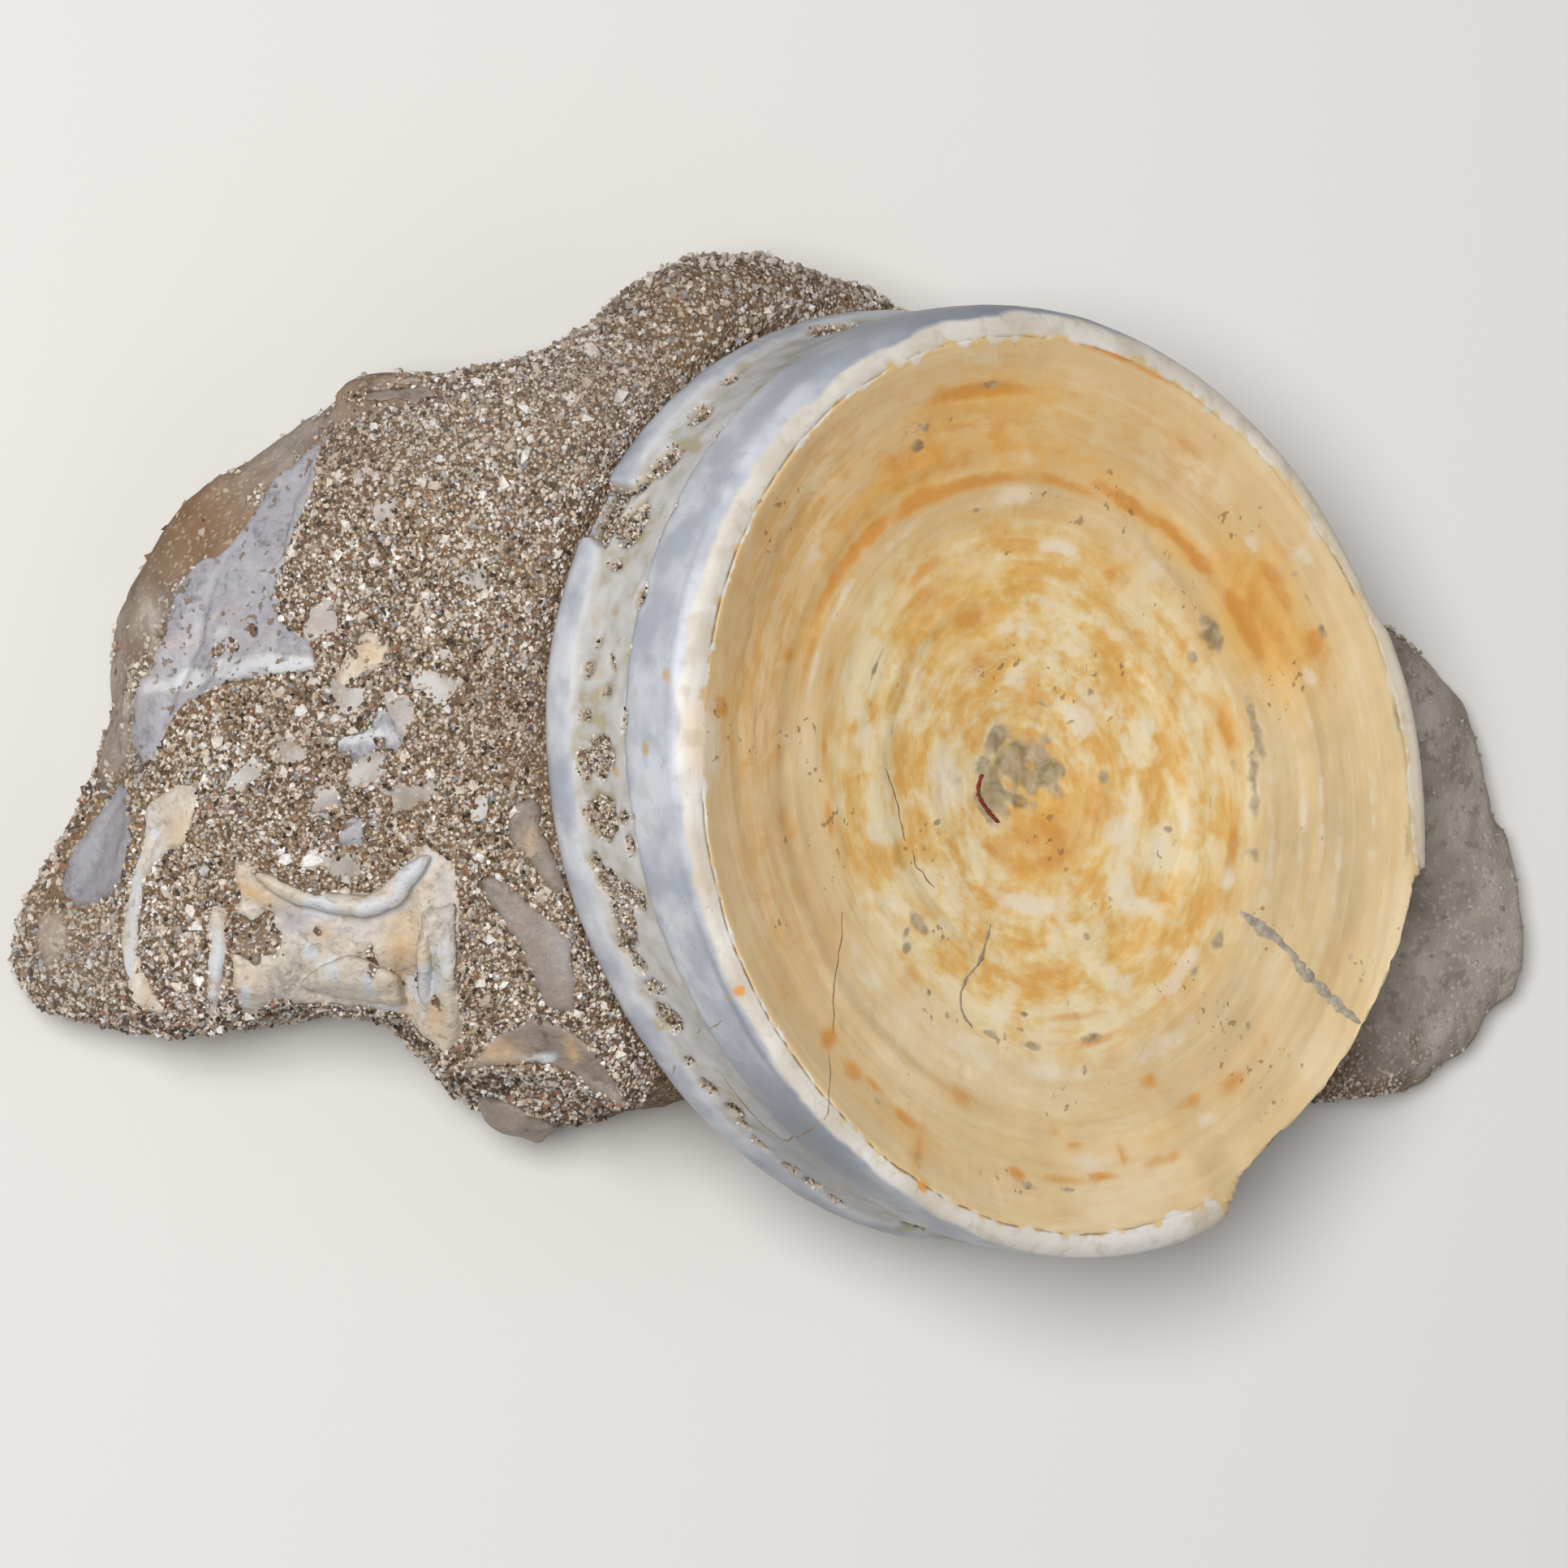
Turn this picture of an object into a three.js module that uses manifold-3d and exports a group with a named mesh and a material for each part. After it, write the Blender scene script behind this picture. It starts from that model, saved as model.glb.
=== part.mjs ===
// A shark's backbone disc (a centrum) lying on the lump of bone-bearing sandstone it was found in.
// Millimetres, +Z up. The origin is on the flat underside of the lump, straight below the middle of the
// disc's open face. +X runs along the lump toward its low ledge, +Y across it.
import * as THREE from 'three';
import { mergeVertices } from 'three/addons/utils/BufferGeometryUtils.js';
import Module from 'manifold-3d';

const wasm = await Module();
wasm.setup();
const degrees = THREE.MathUtils.degToRad;

// Driving dimensions.
const DISC_RADIUS = 25.2;
const DISC_OVAL = 0.071; // how far the outline departs from a circle, as a part of the radius
const DISC_LONG_AXIS = degrees(140); // the direction round the face in which the disc is widest
const DISC_THICKNESS = 11.8;
const BOWL_DEPTH = 3.6;
const CREST = 0.94; // the rim's crest, as a part of the radius
const FACE_HEIGHT = 24; // the middle of the open face above the underside
const DISC_PITCH = degrees(17.6); // the disc leans down toward +X
const DISC_ROLL = degrees(1.4);
const BENCH_PITCH = degrees(-20); // the slope of the lump's upper surface beside the disc
const BENCH_LEVEL = 5.5; // that surface above the middle of the open face, square to its slope
const LEDGE_HEIGHT = 5.5;
const GAP = 0.3; // between two pieces that touch
const DISC_SIDES = 60; // flats round the disc
const LUMP_CELL = 2.7; // the mesh width of the lump
const ROUGHNESS = 0.55; // of the lump's broken surface

// Value noise between -1 and 1.
function hash(x, y, z) {
  const wave = Math.sin(x * 127.1 + y * 311.7 + z * 74.7) * 43758.5453;
  return wave - Math.floor(wave);
}

function noise(x, y, z) {
  const [i, j, k] = [x, y, z].map(Math.floor);
  const [u, v, w] = [x - i, y - j, z - k].map((part) => part * part * (3 - 2 * part));
  let sum = 0;
  for (let corner = 0; corner < 8; corner += 1) {
    const [a, b, c] = [corner & 1, (corner >> 1) & 1, corner >> 2];
    sum += (a ? u : 1 - u) * (b ? v : 1 - v) * (c ? w : 1 - w) * hash(i + a, j + b, k + c);
  }
  return 2 * sum - 1;
}

// Soft minimum and maximum of two distances.
function softMin(a, b, blend) {
  const share = THREE.MathUtils.clamp(0.5 + (0.5 * (b - a)) / blend, 0, 1);
  return b + (a - b) * share - blend * share * (1 - share);
}

const softMax = (a, b, blend) => -softMin(-a, -b, blend);

// Distance from a point to a closed outline, negative inside.
function outlineDistance(outline, x, y) {
  let nearest = Infinity;
  let inside = false;
  outline.forEach(([ax, ay], index) => {
    const [bx, by] = outline[(index + 1) % outline.length];
    const [dx, dy] = [bx - ax, by - ay];
    const share = THREE.MathUtils.clamp(((x - ax) * dx + (y - ay) * dy) / (dx * dx + dy * dy), 0, 1);
    nearest = Math.min(nearest, Math.hypot(x - ax - share * dx, y - ay - share * dy));
    if (ay > y !== by > y && x < ax + ((y - ay) * dx) / dy) inside = !inside;
  });
  return inside ? -nearest : nearest;
}

// A closed mesh of the surface on which a field is zero (negative inside): one corner in each cell that
// the surface crosses, and one four-sided face across each grid edge that it crosses.
function surfaceOf(field, low, high, cell) {
  const size = low.map((start, axis) => Math.ceil((high[axis] - start) / cell) + 1);
  const at = (node) => (node[2] * size[1] + node[1]) * size[0] + node[0];
  const value = new Float64Array(size[0] * size[1] * size[2]);
  const nodes = [];
  for (let k = 0; k < size[2]; k += 1) {
    for (let j = 0; j < size[1]; j += 1) {
      for (let i = 0; i < size[0]; i += 1) {
        value[at([i, j, k])] = field(low[0] + i * cell, low[1] + j * cell, low[2] + k * cell);
        nodes.push([i, j, k]);
      }
    }
  }
  const step = (node, axis, by) => node.map((part, other) => (other === axis ? part + by : part));
  const cornerOfCell = new Map();
  const corners = [];
  const cellCorner = (start) => {
    if (!cornerOfCell.has(at(start))) {
      const sum = [0, 0, 0];
      let crossings = 0;
      for (let axis = 0; axis < 3; axis += 1) {
        for (const [b, c] of [[0, 0], [1, 0], [0, 1], [1, 1]]) {
          const from = step(step(start, (axis + 1) % 3, b), (axis + 2) % 3, c);
          const [near, far] = [value[at(from)], value[at(step(from, axis, 1))]];
          if (near < 0 !== far < 0) {
            crossings += 1;
            from.forEach((part, other) => {
              sum[other] += part + (other === axis ? near / (near - far) : 0);
            });
          }
        }
      }
      cornerOfCell.set(at(start), corners.length);
      corners.push(sum.map((part, axis) => low[axis] + (cell * part) / crossings));
    }
    return cornerOfCell.get(at(start));
  };
  const faces = [];
  for (const node of nodes) {
    for (let axis = 0; axis < 3; axis += 1) {
      const [b, c] = [(axis + 1) % 3, (axis + 2) % 3];
      if (node[axis] + 1 < size[axis] && node[b] > 0 && node[c] > 0) {
        const inside = value[at(node)] < 0;
        if (inside !== value[at(step(node, axis, 1))] < 0) {
          const around = [step(step(node, b, -1), c, -1), step(node, c, -1), node, step(node, b, -1)];
          const [p, q, r, s] = around.map(cellCorner);
          faces.push(...(inside ? [p, q, r, p, r, s] : [p, r, q, p, s, r]));
        }
      }
    }
  }
  const geometry = new THREE.BufferGeometry();
  geometry.setAttribute('position', new THREE.Float32BufferAttribute(corners.flat(), 3));
  geometry.setIndex(faces);
  return geometry;
}

// Between three.js geometry and solids that can be cut and joined.
function toSolid(source) {
  const bare = source.clone();
  bare.deleteAttribute('normal');
  bare.deleteAttribute('uv');
  const merged = mergeVertices(bare, 1e-4);
  const index = merged.getIndex().array;
  const faces = [];
  for (let i = 0; i < index.length; i += 3) {
    const [a, b, c] = index.slice(i, i + 3);
    if (a !== b && b !== c && c !== a) faces.push(a, b, c);
  }
  const vertProperties = new Float32Array(merged.getAttribute('position').array);
  return new wasm.Manifold(new wasm.Mesh({ numProp: 3, vertProperties, triVerts: new Uint32Array(faces) }));
}

function toGeometry(solid) {
  const { vertProperties, triVerts } = solid.getMesh();
  const geometry = new THREE.BufferGeometry();
  geometry.setAttribute('position', new THREE.BufferAttribute(new Float32Array(vertProperties), 3));
  geometry.setIndex(new THREE.BufferAttribute(new Uint32Array(triVerts), 1));
  return geometry;
}

// The disc lies in this group: z is 0 at its open face's crest and falls through its thickness.
const discSeat = new THREE.Group();
discSeat.position.set(0, 0, FACE_HEIGHT);
discSeat.rotation.set(DISC_ROLL, DISC_PITCH, 0, 'YXZ');
discSeat.updateMatrixWorld();

// The lump's sloping upper surface is z = BENCH_LEVEL in this group.
const bench = new THREE.Group();
bench.position.set(0, 0, FACE_HEIGHT);
bench.rotation.set(0, BENCH_PITCH, 0);
bench.updateMatrixWorld();

const discFrame = discSeat.matrixWorld.clone().invert();
const benchFrame = bench.matrixWorld.clone().invert();

// ---- The disc ----

const discRadius = (angle) => DISC_RADIUS * (1 + DISC_OVAL * Math.cos(2 * (angle - DISC_LONG_AXIS)));

// 1 between two directions round the disc, 0 outside them, over a few degrees.
function between(angle, { start, end }) {
  const blend = degrees(4);
  const turned = (angle + 2 * Math.PI) % (2 * Math.PI);
  const rise = THREE.MathUtils.smoothstep(turned, start, start + blend);
  return rise * (1 - THREE.MathUtils.smoothstep(turned, end - blend, end));
}

// Section from the middle of the open face over the rim and down to the middle of the back: the distance
// from the axis as a part of the radius, and the height. Low benches mark the growth rings.
const OPEN_BOWL = [
  [0, -BOWL_DEPTH], [0.15, -3.25], [0.38, -2.65], [0.41, -2.4], [0.53, -2.1],
  [0.58, -1.85], [0.68, -1.6], [0.72, -1.3], [0.82, -0.95], [0.89, -0.4], [CREST, 0],
];
const SIDE_WALL = [
  [0.975, -0.15], [1, -0.75], [1, -2.6], [0.997, -4.35], [0.972, -4.7], [0.968, -7], [0.973, -9.2],
  [0.995, -9.6], [1, -11.1], [0.985, -DISC_THICKNESS],
];
const BACK_BOWL = [[0.93, -DISC_THICKNESS], [0.8, -10.8], [0.5, -9.6], [0, -8.4]];
// Where the open rim's lip and the back rim have broken away: the directions, how far in as a part of the
// radius, and the heights that the break reaches.
const LOST_LIP = { start: degrees(297), end: degrees(349), depth: 0.075, foot: -4.4, slopeFoot: -7.5 };
const LOST_BACK_RIM = { start: degrees(144), end: degrees(154), depth: 0.055, top: -9.4 };

// How much of the side is broken away at a point, as a part of the radius.
function brokenAway(angle, share, height) {
  const lip = LOST_LIP.depth * between(angle, LOST_LIP);
  const uneven = 1 + 0.3 * noise(6 * angle, height, 3);
  const slope = height > LOST_LIP.slopeFoot ? 0.5 : 0;
  const back = height < LOST_BACK_RIM.top ? LOST_BACK_RIM.depth * between(angle, LOST_BACK_RIM) : 0;
  const outer = THREE.MathUtils.smoothstep(share, 0.9, 0.98);
  return outer * (back + lip * (height > LOST_LIP.foot ? uneven : slope));
}

function discGeometry(sides, grow) {
  const section = [...OPEN_BOWL, ...SIDE_WALL, ...BACK_BOWL].reverse();
  const points = section.map(([share, height]) => new THREE.Vector2(share * DISC_RADIUS, height));
  const geometry = new THREE.LatheGeometry(points, sides).rotateX(Math.PI / 2);
  const position = geometry.getAttribute('position');
  for (let i = 0; i < position.count; i += 1) {
    const [x, y, z] = [position.getX(i), position.getY(i), position.getZ(i)];
    const angle = Math.atan2(y, x);
    const share = Math.hypot(x, y) / DISC_RADIUS;
    const lost = grow ? 0 : brokenAway(angle, share, z);
    const radius = (share - lost) * discRadius(angle) + grow * Math.sign(share);
    const side = z > -DISC_THICKNESS / 2 ? 1 : -1;
    position.setXYZ(i, radius * Math.cos(angle), radius * Math.sin(angle), z + grow * side);
  }
  return geometry;
}

// Holes in the groove round the side: direction in degrees, height, half length round the rim and half
// height.
const HOLES = [
  [133, -8.8, 1.6, 1.5], [141, -7.6, 1.4, 1.2], [149, -8.2, 1.9, 2], [158, -4.9, 1, 0.6],
  [167, -7.9, 0.6, 0.9], [177, -7, 1.5, 2.1], [183.5, -7, 1.3, 1.8], [189, -8.6, 1, 1],
  [195.5, -7.6, 1.9, 1.2], [200.5, -8.4, 1.4, 1.1], [205, -9.2, 0.8, 0.8], [212, -9, 1.3, 1.3],
  [225, -9.4, 1.1, 0.7], [233, -9, 0.9, 0.8], [243, -8.9, 1.1, 0.8],
];
// The far side of the groove has holes of the same kind, a little apart from each other.
for (let direction = 262; direction < 480; direction += 22) {
  const halfLength = 1.1 + 0.9 * hash(direction, 1, 0);
  HOLES.push([direction, -7 - 1.6 * hash(direction, 2, 0), halfLength, 0.7 * halfLength + 0.3]);
}
const HOLE_DEPTH = 1.5;
const GROOVE = 0.97; // the groove's floor, as a part of the radius
const LARGE_HOLE = 1.35; // the half length from which a hole is modelled more finely

function holeGeometry([direction, height, halfLength, halfHeight]) {
  const angle = degrees(direction);
  const geometry = new THREE.IcosahedronGeometry(1, halfLength > LARGE_HOLE && direction < 260 ? 1 : 0);
  geometry.scale(HOLE_DEPTH, halfLength, halfHeight);
  geometry.translate(GROOVE * discRadius(angle) - 0.1, 0, height);
  return geometry.rotateZ(angle);
}

let discSolid = toSolid(discGeometry(DISC_SIDES, 0));
HOLES.forEach((hole) => {
  discSolid = discSolid.subtract(toSolid(holeGeometry(hole)));
});

// ---- The lump ----

// Widest outline of the lump, seen from above.
const LUMP_OUTLINE = [
  [-53, -9.5], [-51.5, -6.5], [-49.5, -3], [-47, 0.5], [-46.3, 4], [-47.3, 6], [-46.2, 9], [-44.5, 12.5],
  [-42.5, 15.5], [-39.5, 17.5], [-36.5, 20], [-35, 21.5], [-31, 21.4], [-28, 22], [-25, 23], [-21.5, 25.5],
  [-18.5, 27.4], [-16.5, 28.7], [-14.5, 29], [-12, 28.3], [-7, 27.8], [-3.5, 26.5], [3, 22], [12, 17],
  [20, 13], [27.5, 10.8], [33, 6.5], [35, 4], [36.3, 0.5], [38, -6], [39.2, -8.5], [38.9, -11.3], [36, -14],
  [35, -16.2], [32, -17.8], [27, -18], [22.5, -18.5], [12, -18.5], [2, -17], [-8, -16.5], [-15.5, -17.2],
  [-17.5, -18.5], [-21.5, -18.8], [-24, -19.1], [-28, -16.4], [-33, -13.9], [-36, -13.2], [-40, -13.4],
  [-44, -13.5], [-48.5, -12.8], [-51.5, -11.8],
];
// Rises and hollows of the sloping upper surface: place on it, height above or below it, and reach.
const RELIEF = [
  [-52, -7, -4.5, 5], [-47, 14, -5, 6], [-50, 7, -2, 3], [-35, 22, -2.5, 4], [-30, 8, 0.8, 8],
  [-40, 1, 0.6, 5], [-38, -11, -1.8, 5], [-28, -15, -2.2, 5], [-29, -6, -0.6, 4], [-44, -9, -0.5, 4],
  [-25, 3, -0.7, 4],
];
// The sides lean in above and below the height at which the lump is widest, which rises toward +Y.
const WIDEST = { low: 5, high: 14, from: 8, reach: 14 };
const LEAN_ABOVE = 0.27;
const LEAN_BELOW = 0.3;
const CUT_MARGIN = 3; // how far the field goes on below the flat underside, where it is cut off

function benchRelief(x, y) {
  return RELIEF.reduce((sum, [px, py, height, reach]) => (
    sum + height * Math.exp(-((x - px) ** 2 + (y - py) ** 2) / (reach * reach))
  ), 0);
}

// Distance to the lump's surface, roughly, negative inside it.
function lumpField(x, y, z, roughness) {
  const onBench = new THREE.Vector3(x, y, z).applyMatrix4(benchFrame);
  const onDisc = new THREE.Vector3(x, y, z).applyMatrix4(discFrame);
  const upper = onBench.z - BENCH_LEVEL - benchRelief(onBench.x, onBench.y);
  const underDisc = onDisc.z + DISC_THICKNESS;
  const ledge = z - LEDGE_HEIGHT + 0.12 * Math.max(x - 24, 0);
  const top = softMin(softMax(upper, underDisc, 2), ledge, 2);
  const rise = THREE.MathUtils.clamp((y - WIDEST.from + 0.5 * Math.min(x + 28, 0)) / WIDEST.reach, 0, 1);
  const widest = THREE.MathUtils.lerp(WIDEST.low, WIDEST.high, rise);
  const lean = z > widest ? LEAN_ABOVE * (z - widest) : LEAN_BELOW * (widest - z);
  const side = outlineDistance(LUMP_OUTLINE, x, y) + lean;
  const broken = 0.9 * noise(x / 7, y / 7, z / 7) + 0.5 * noise(x / 3.2 + 9, y / 3.2, z / 3.2);
  return Math.max(softMax(top, side, 2.5) - roughness * broken, -CUT_MARGIN - z);
}

// The sediment that fills the disc's hidden bowl.
function plugGeometry() {
  const profile = [[0, -13], [21.5, -13], [21.5, -11.2], [15, -9.2], [0, -7.5]];
  const points = profile.map(([radius, height]) => new THREE.Vector2(radius, height));
  return new THREE.LatheGeometry(points, 24).rotateX(Math.PI / 2);
}

function roughLump() {
  const field = (x, y, z) => lumpField(x, y, z, ROUGHNESS);
  return toSolid(surfaceOf(field, [-56, -25, -2 * CUT_MARGIN], [44, 35, FACE_HEIGHT + 4], LUMP_CELL));
}

// The disc's bed is its own form, grown by the gap and by what its fewer flats cut from the circle.
const bed = discGeometry(DISC_SIDES / 2, GAP + 0.1).applyMatrix4(discSeat.matrixWorld);
const underside = new THREE.BoxGeometry(200, 200, 40).translate(0, 0, -20);
const plug = plugGeometry().applyMatrix4(discSeat.matrixWorld);
let lumpSolid = roughLump().add(toSolid(plug)).subtract(toSolid(bed)).subtract(toSolid(underside));

// ---- Bone fragments in the lump ----
// Each is a plate laid on the sloping bench and set in it, outlined in the bench group's x and y.

const PLATE_BEVEL = 0.25;

// How high the lump's surface is over a place on the bench, without its finer lumps.
function surfaceLevel(x, y) {
  const highest = BENCH_LEVEL + 3;
  const lowest = BENCH_LEVEL - 4.5;
  const stride = 0.1;
  for (let level = highest; level > lowest; level -= stride) {
    const onLump = new THREE.Vector3(x, y, level).applyMatrix4(bench.matrixWorld);
    if (lumpField(onLump.x, onLump.y, onLump.z, 0) < 0) return level;
  }
  return lowest;
}

// The outline moved outward by a distance (its points run counterclockwise).
function widened(outline, distance) {
  return outline.map(([x, y], index) => {
    const [px, py] = outline[(index + outline.length - 1) % outline.length];
    const [nx, ny] = outline[(index + 1) % outline.length];
    const length = Math.hypot(nx - px, ny - py);
    return [x + (distance * (ny - py)) / length, y - (distance * (nx - px)) / length];
  });
}

function laidOnBench(outline, from, to, bevel) {
  const shape = new THREE.Shape(outline.map(([x, y]) => new THREE.Vector2(x, y)));
  const geometry = new THREE.ExtrudeGeometry(shape, {
    depth: to - from - 2 * bevel,
    bevelEnabled: bevel > 0,
    bevelThickness: bevel,
    bevelSize: bevel,
    bevelOffset: -bevel,
    bevelSegments: 1,
  });
  geometry.translate(0, 0, from + bevel);
  const position = geometry.getAttribute('position');
  for (let i = 0; i < position.count; i += 1) {
    position.setZ(i, position.getZ(i) + surfaceLevel(position.getX(i), position.getY(i)));
  }
  return geometry;
}

// A plate with that outline, its top standing proud of the surface and its underside sunk in it.
const plateGeometry = ({ outline, proud, sunk }) => laidOnBench(outline, -sunk, proud, PLATE_BEVEL);

// The pocket it lies in, open at the top.
const pocketGeometry = ({ outline, sunk }) => laidOnBench(widened(outline, GAP), -sunk - 4 * GAP, 9, 0);

const FRAGMENTS = [
  {
    name: 'bone_fan', proud: 0.3, sunk: 1.3, color: 0xd8d3d6,
    outline: [
      [-38.8, 18.3], [-40.2, 17.2], [-41.7, 15.8], [-43.2, 13.2], [-45.2, 11.1], [-46.7, 9.6], [-47.5, 7],
      [-48.9, 4.7], [-49.1, 2.6], [-48.7, 0.9], [-47.6, 0.7], [-46.9, 2.9], [-45.9, 4.2], [-43.4, 5.4],
      [-38.9, 6], [-39.2, 7.4], [-40.9, 8.5], [-41.1, 10.4], [-40.2, 13], [-39.2, 15.2],
    ],
  },
  {
    name: 'bone_lens', proud: 0.45, sunk: 1.1, color: 0xbfb7ad,
    outline: [
      [-49.3, 0.4], [-50.9, -1.6], [-52.1, -3.5], [-52.7, -5.4], [-51.9, -6.5], [-50.6, -6.2],
      [-49.5, -5.5], [-49.2, -4.4], [-48.7, -2.8], [-48.8, -0.6],
    ],
  },
  {
    name: 'bone_plate', proud: 0.7, sunk: 2, color: 0xe6ddc6,
    outline: [
      [-48.3, -3.4], [-48.8, -5], [-49.3, -7.2], [-49.2, -9.2], [-48.6, -11.2], [-47.4, -12.6],
      [-46.6, -12.8], [-47.3, -11.6], [-48.2, -9.7], [-48.4, -7.2], [-48.1, -5], [-47.5, -4], [-45.9, -2.9],
      [-45.2, -1.2], [-45.1, 0.1], [-46.4, 0.1], [-47.6, -0.7], [-48.2, -1.6],
    ],
  },
  {
    name: 'bone_splinter', proud: 0.5, sunk: 1.4, color: 0xe4ddd0,
    outline: [
      [-44.3, -6.2], [-44.7, -8.6], [-44.8, -10.8], [-45.3, -12.4], [-44.7, -12.8], [-44.1, -10.8],
      [-44, -8.6], [-43.7, -6.3],
    ],
  },
  {
    name: 'broken_bone', proud: 0.3, sunk: 2, color: 0xdcc9a0,
    outline: [
      [-43.4, -3.6], [-43.2, -5.6], [-43.5, -8], [-43.7, -10.6], [-43.2, -12.4], [-41.4, -11.1],
      [-37.4, -11.8], [-34.6, -11.9], [-33.6, -13.2], [-32.5, -14.2], [-31.7, -13], [-31.7, -11],
      [-31.7, -7], [-31.9, -3.8], [-33.5, -2.9], [-34.6, -4.2], [-36.4, -5.5], [-38.6, -5.4], [-41.6, -4.5],
    ],
    ridges: [
      {
        proud: 1.3, sunk: 1,
        outline: [
          [-42.5, -4.4], [-41, -5.5], [-38.6, -6.5], [-36.3, -6.7], [-34.8, -5.8], [-33.6, -4.4],
          [-33.3, -3.6], [-34.7, -4.5], [-36.4, -5.8], [-38.6, -5.7], [-41, -4.9],
        ],
      },
      {
        proud: 0.8, sunk: 1,
        outline: [[-33.6, -6.5], [-33.8, -9.5], [-33.4, -12.5], [-32.4, -13.6], [-32, -10], [-32.1, -6.2]],
      },
      {
        proud: 0.7, sunk: 1,
        outline: [[-40, -10.2], [-38.6, -10.9], [-36.4, -11.3], [-34.6, -11.3], [-35, -9.9], [-37.5, -8.8]],
      },
    ],
  },
  {
    name: 'bone_flake', proud: 0.35, sunk: 1.2, color: 0xcbbd9f,
    outline: [
      [-30.8, -4.7], [-30.5, -5.9], [-29, -7.9], [-28.1, -9.6], [-27.4, -11.4], [-25.8, -11.8],
      [-25.7, -9.9], [-25.9, -7.9], [-27.4, -6.6], [-28.3, -5.6], [-29.9, -4.5],
    ],
  },
  {
    name: 'bone_wedge', proud: 0.5, sunk: 1.3, color: 0xd9d2c4,
    outline: [
      [-27.9, -0.6], [-28.9, -0.9], [-29.4, -2.1], [-29, -3.3], [-27.9, -4.2], [-26.9, -5.4], [-26.2, -5.7],
      [-26.5, -4.4], [-27.1, -2.9], [-27.5, -1.2],
    ],
  },
  {
    name: 'bone_shard', proud: 0.6, sunk: 1.6, color: 0xb9a58a,
    outline: [
      [-32, -15.1], [-30.2, -14.7], [-28.1, -14.5], [-26, -15.1], [-24.3, -16.2], [-23.3, -16.8],
      [-23.5, -15.6], [-24.9, -13.6], [-25.9, -12.6], [-27.9, -12], [-29.9, -12.9], [-31, -14],
    ],
  },
  {
    name: 'chip_tan', proud: 0.4, sunk: 1, color: 0xd9b99a,
    outline: [[-38, 5.3], [-36.3, 5.5], [-35.1, 6.3], [-35, 7.8], [-36.4, 8], [-37.6, 6.9]],
  },
  {
    name: 'chip_white', proud: 0.4, sunk: 1, color: 0xdfe0e0,
    outline: [
      [-37.9, 1.6], [-37.1, 1.1], [-36.2, 1.6], [-34.9, 1.6], [-34.6, 2.4], [-35, 3.6], [-35.9, 4.3],
      [-36.2, 3], [-37.8, 2.4],
    ],
  },
  {
    name: 'chip_grey', proud: 0.3, sunk: 1, color: 0xd5d6d4,
    outline: [
      [-39.5, -2.5], [-38.2, -3.1], [-36.4, -2.8], [-35.8, -1.4], [-37.3, -1.6], [-37.9, -0.7], [-39.2, -1.3],
    ],
  },
  {
    name: 'edge_flake', proud: 0.5, sunk: 1.2, color: 0xb5a692,
    outline: [
      [-38, 20.4], [-37, 19.7], [-34.9, 19.5], [-32.8, 19.9], [-32, 20.5], [-33.2, 20.9], [-34.9, 21.1],
      [-37, 21],
    ],
  },
];

// A pebble half set in the lump's side.
function pebbleGeometry(grow) {
  const geometry = new THREE.OctahedronGeometry(1, 1);
  geometry.scale(2.4 + grow, 1.3 + grow, 1.7 + grow);
  return geometry.rotateZ(degrees(-18)).translate(-24.5, -17.6, 6);
}

const part = new THREE.Group();
part.add(discSeat, bench);

function addPiece(group, name, geometry, color, roughness) {
  const mesh = new THREE.Mesh(geometry, new THREE.MeshStandardMaterial({ color, roughness, metalness: 0 }));
  mesh.name = name;
  group.add(mesh);
}

FRAGMENTS.forEach((fragment) => {
  lumpSolid = lumpSolid.subtract(toSolid(pocketGeometry(fragment).applyMatrix4(bench.matrixWorld)));
  const plates = [fragment, ...(fragment.ridges ?? [])].map((shape) => toSolid(plateGeometry(shape)));
  const solid = plates.reduce((whole, plate) => whole.add(plate));
  addPiece(bench, fragment.name, toGeometry(solid), fragment.color, 0.6);
});
lumpSolid = lumpSolid.subtract(toSolid(pebbleGeometry(GAP)));
addPiece(part, 'pebble', toGeometry(toSolid(pebbleGeometry(0))), 0xc2ac90, 0.7);
addPiece(discSeat, 'centrum', toGeometry(discSolid), 0xe6d3b0, 0.5);
addPiece(part, 'matrix', toGeometry(lumpSolid), 0x93806a, 0.95);

export default part;
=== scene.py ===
import math

import bmesh
import bpy
import numpy as np
from mathutils import Matrix, Vector
from mathutils.bvhtree import BVHTree


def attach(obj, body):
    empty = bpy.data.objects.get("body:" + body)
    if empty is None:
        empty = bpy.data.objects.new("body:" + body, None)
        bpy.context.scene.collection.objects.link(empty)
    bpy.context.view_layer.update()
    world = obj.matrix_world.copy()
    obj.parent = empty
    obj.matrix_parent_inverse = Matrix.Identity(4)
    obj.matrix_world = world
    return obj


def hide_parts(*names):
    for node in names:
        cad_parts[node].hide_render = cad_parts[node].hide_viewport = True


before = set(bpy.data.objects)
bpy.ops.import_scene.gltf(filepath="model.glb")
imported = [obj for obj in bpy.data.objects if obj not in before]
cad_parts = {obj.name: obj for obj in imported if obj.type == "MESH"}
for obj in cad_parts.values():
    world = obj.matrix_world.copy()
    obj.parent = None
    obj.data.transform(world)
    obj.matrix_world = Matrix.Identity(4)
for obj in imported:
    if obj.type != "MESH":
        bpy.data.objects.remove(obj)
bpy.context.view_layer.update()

# A shark's backbone disc (a centrum) lying on the lump of bone-bearing sandstone it was found in.
# Shapes are worked out in millimetres and placed in metres.

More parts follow.
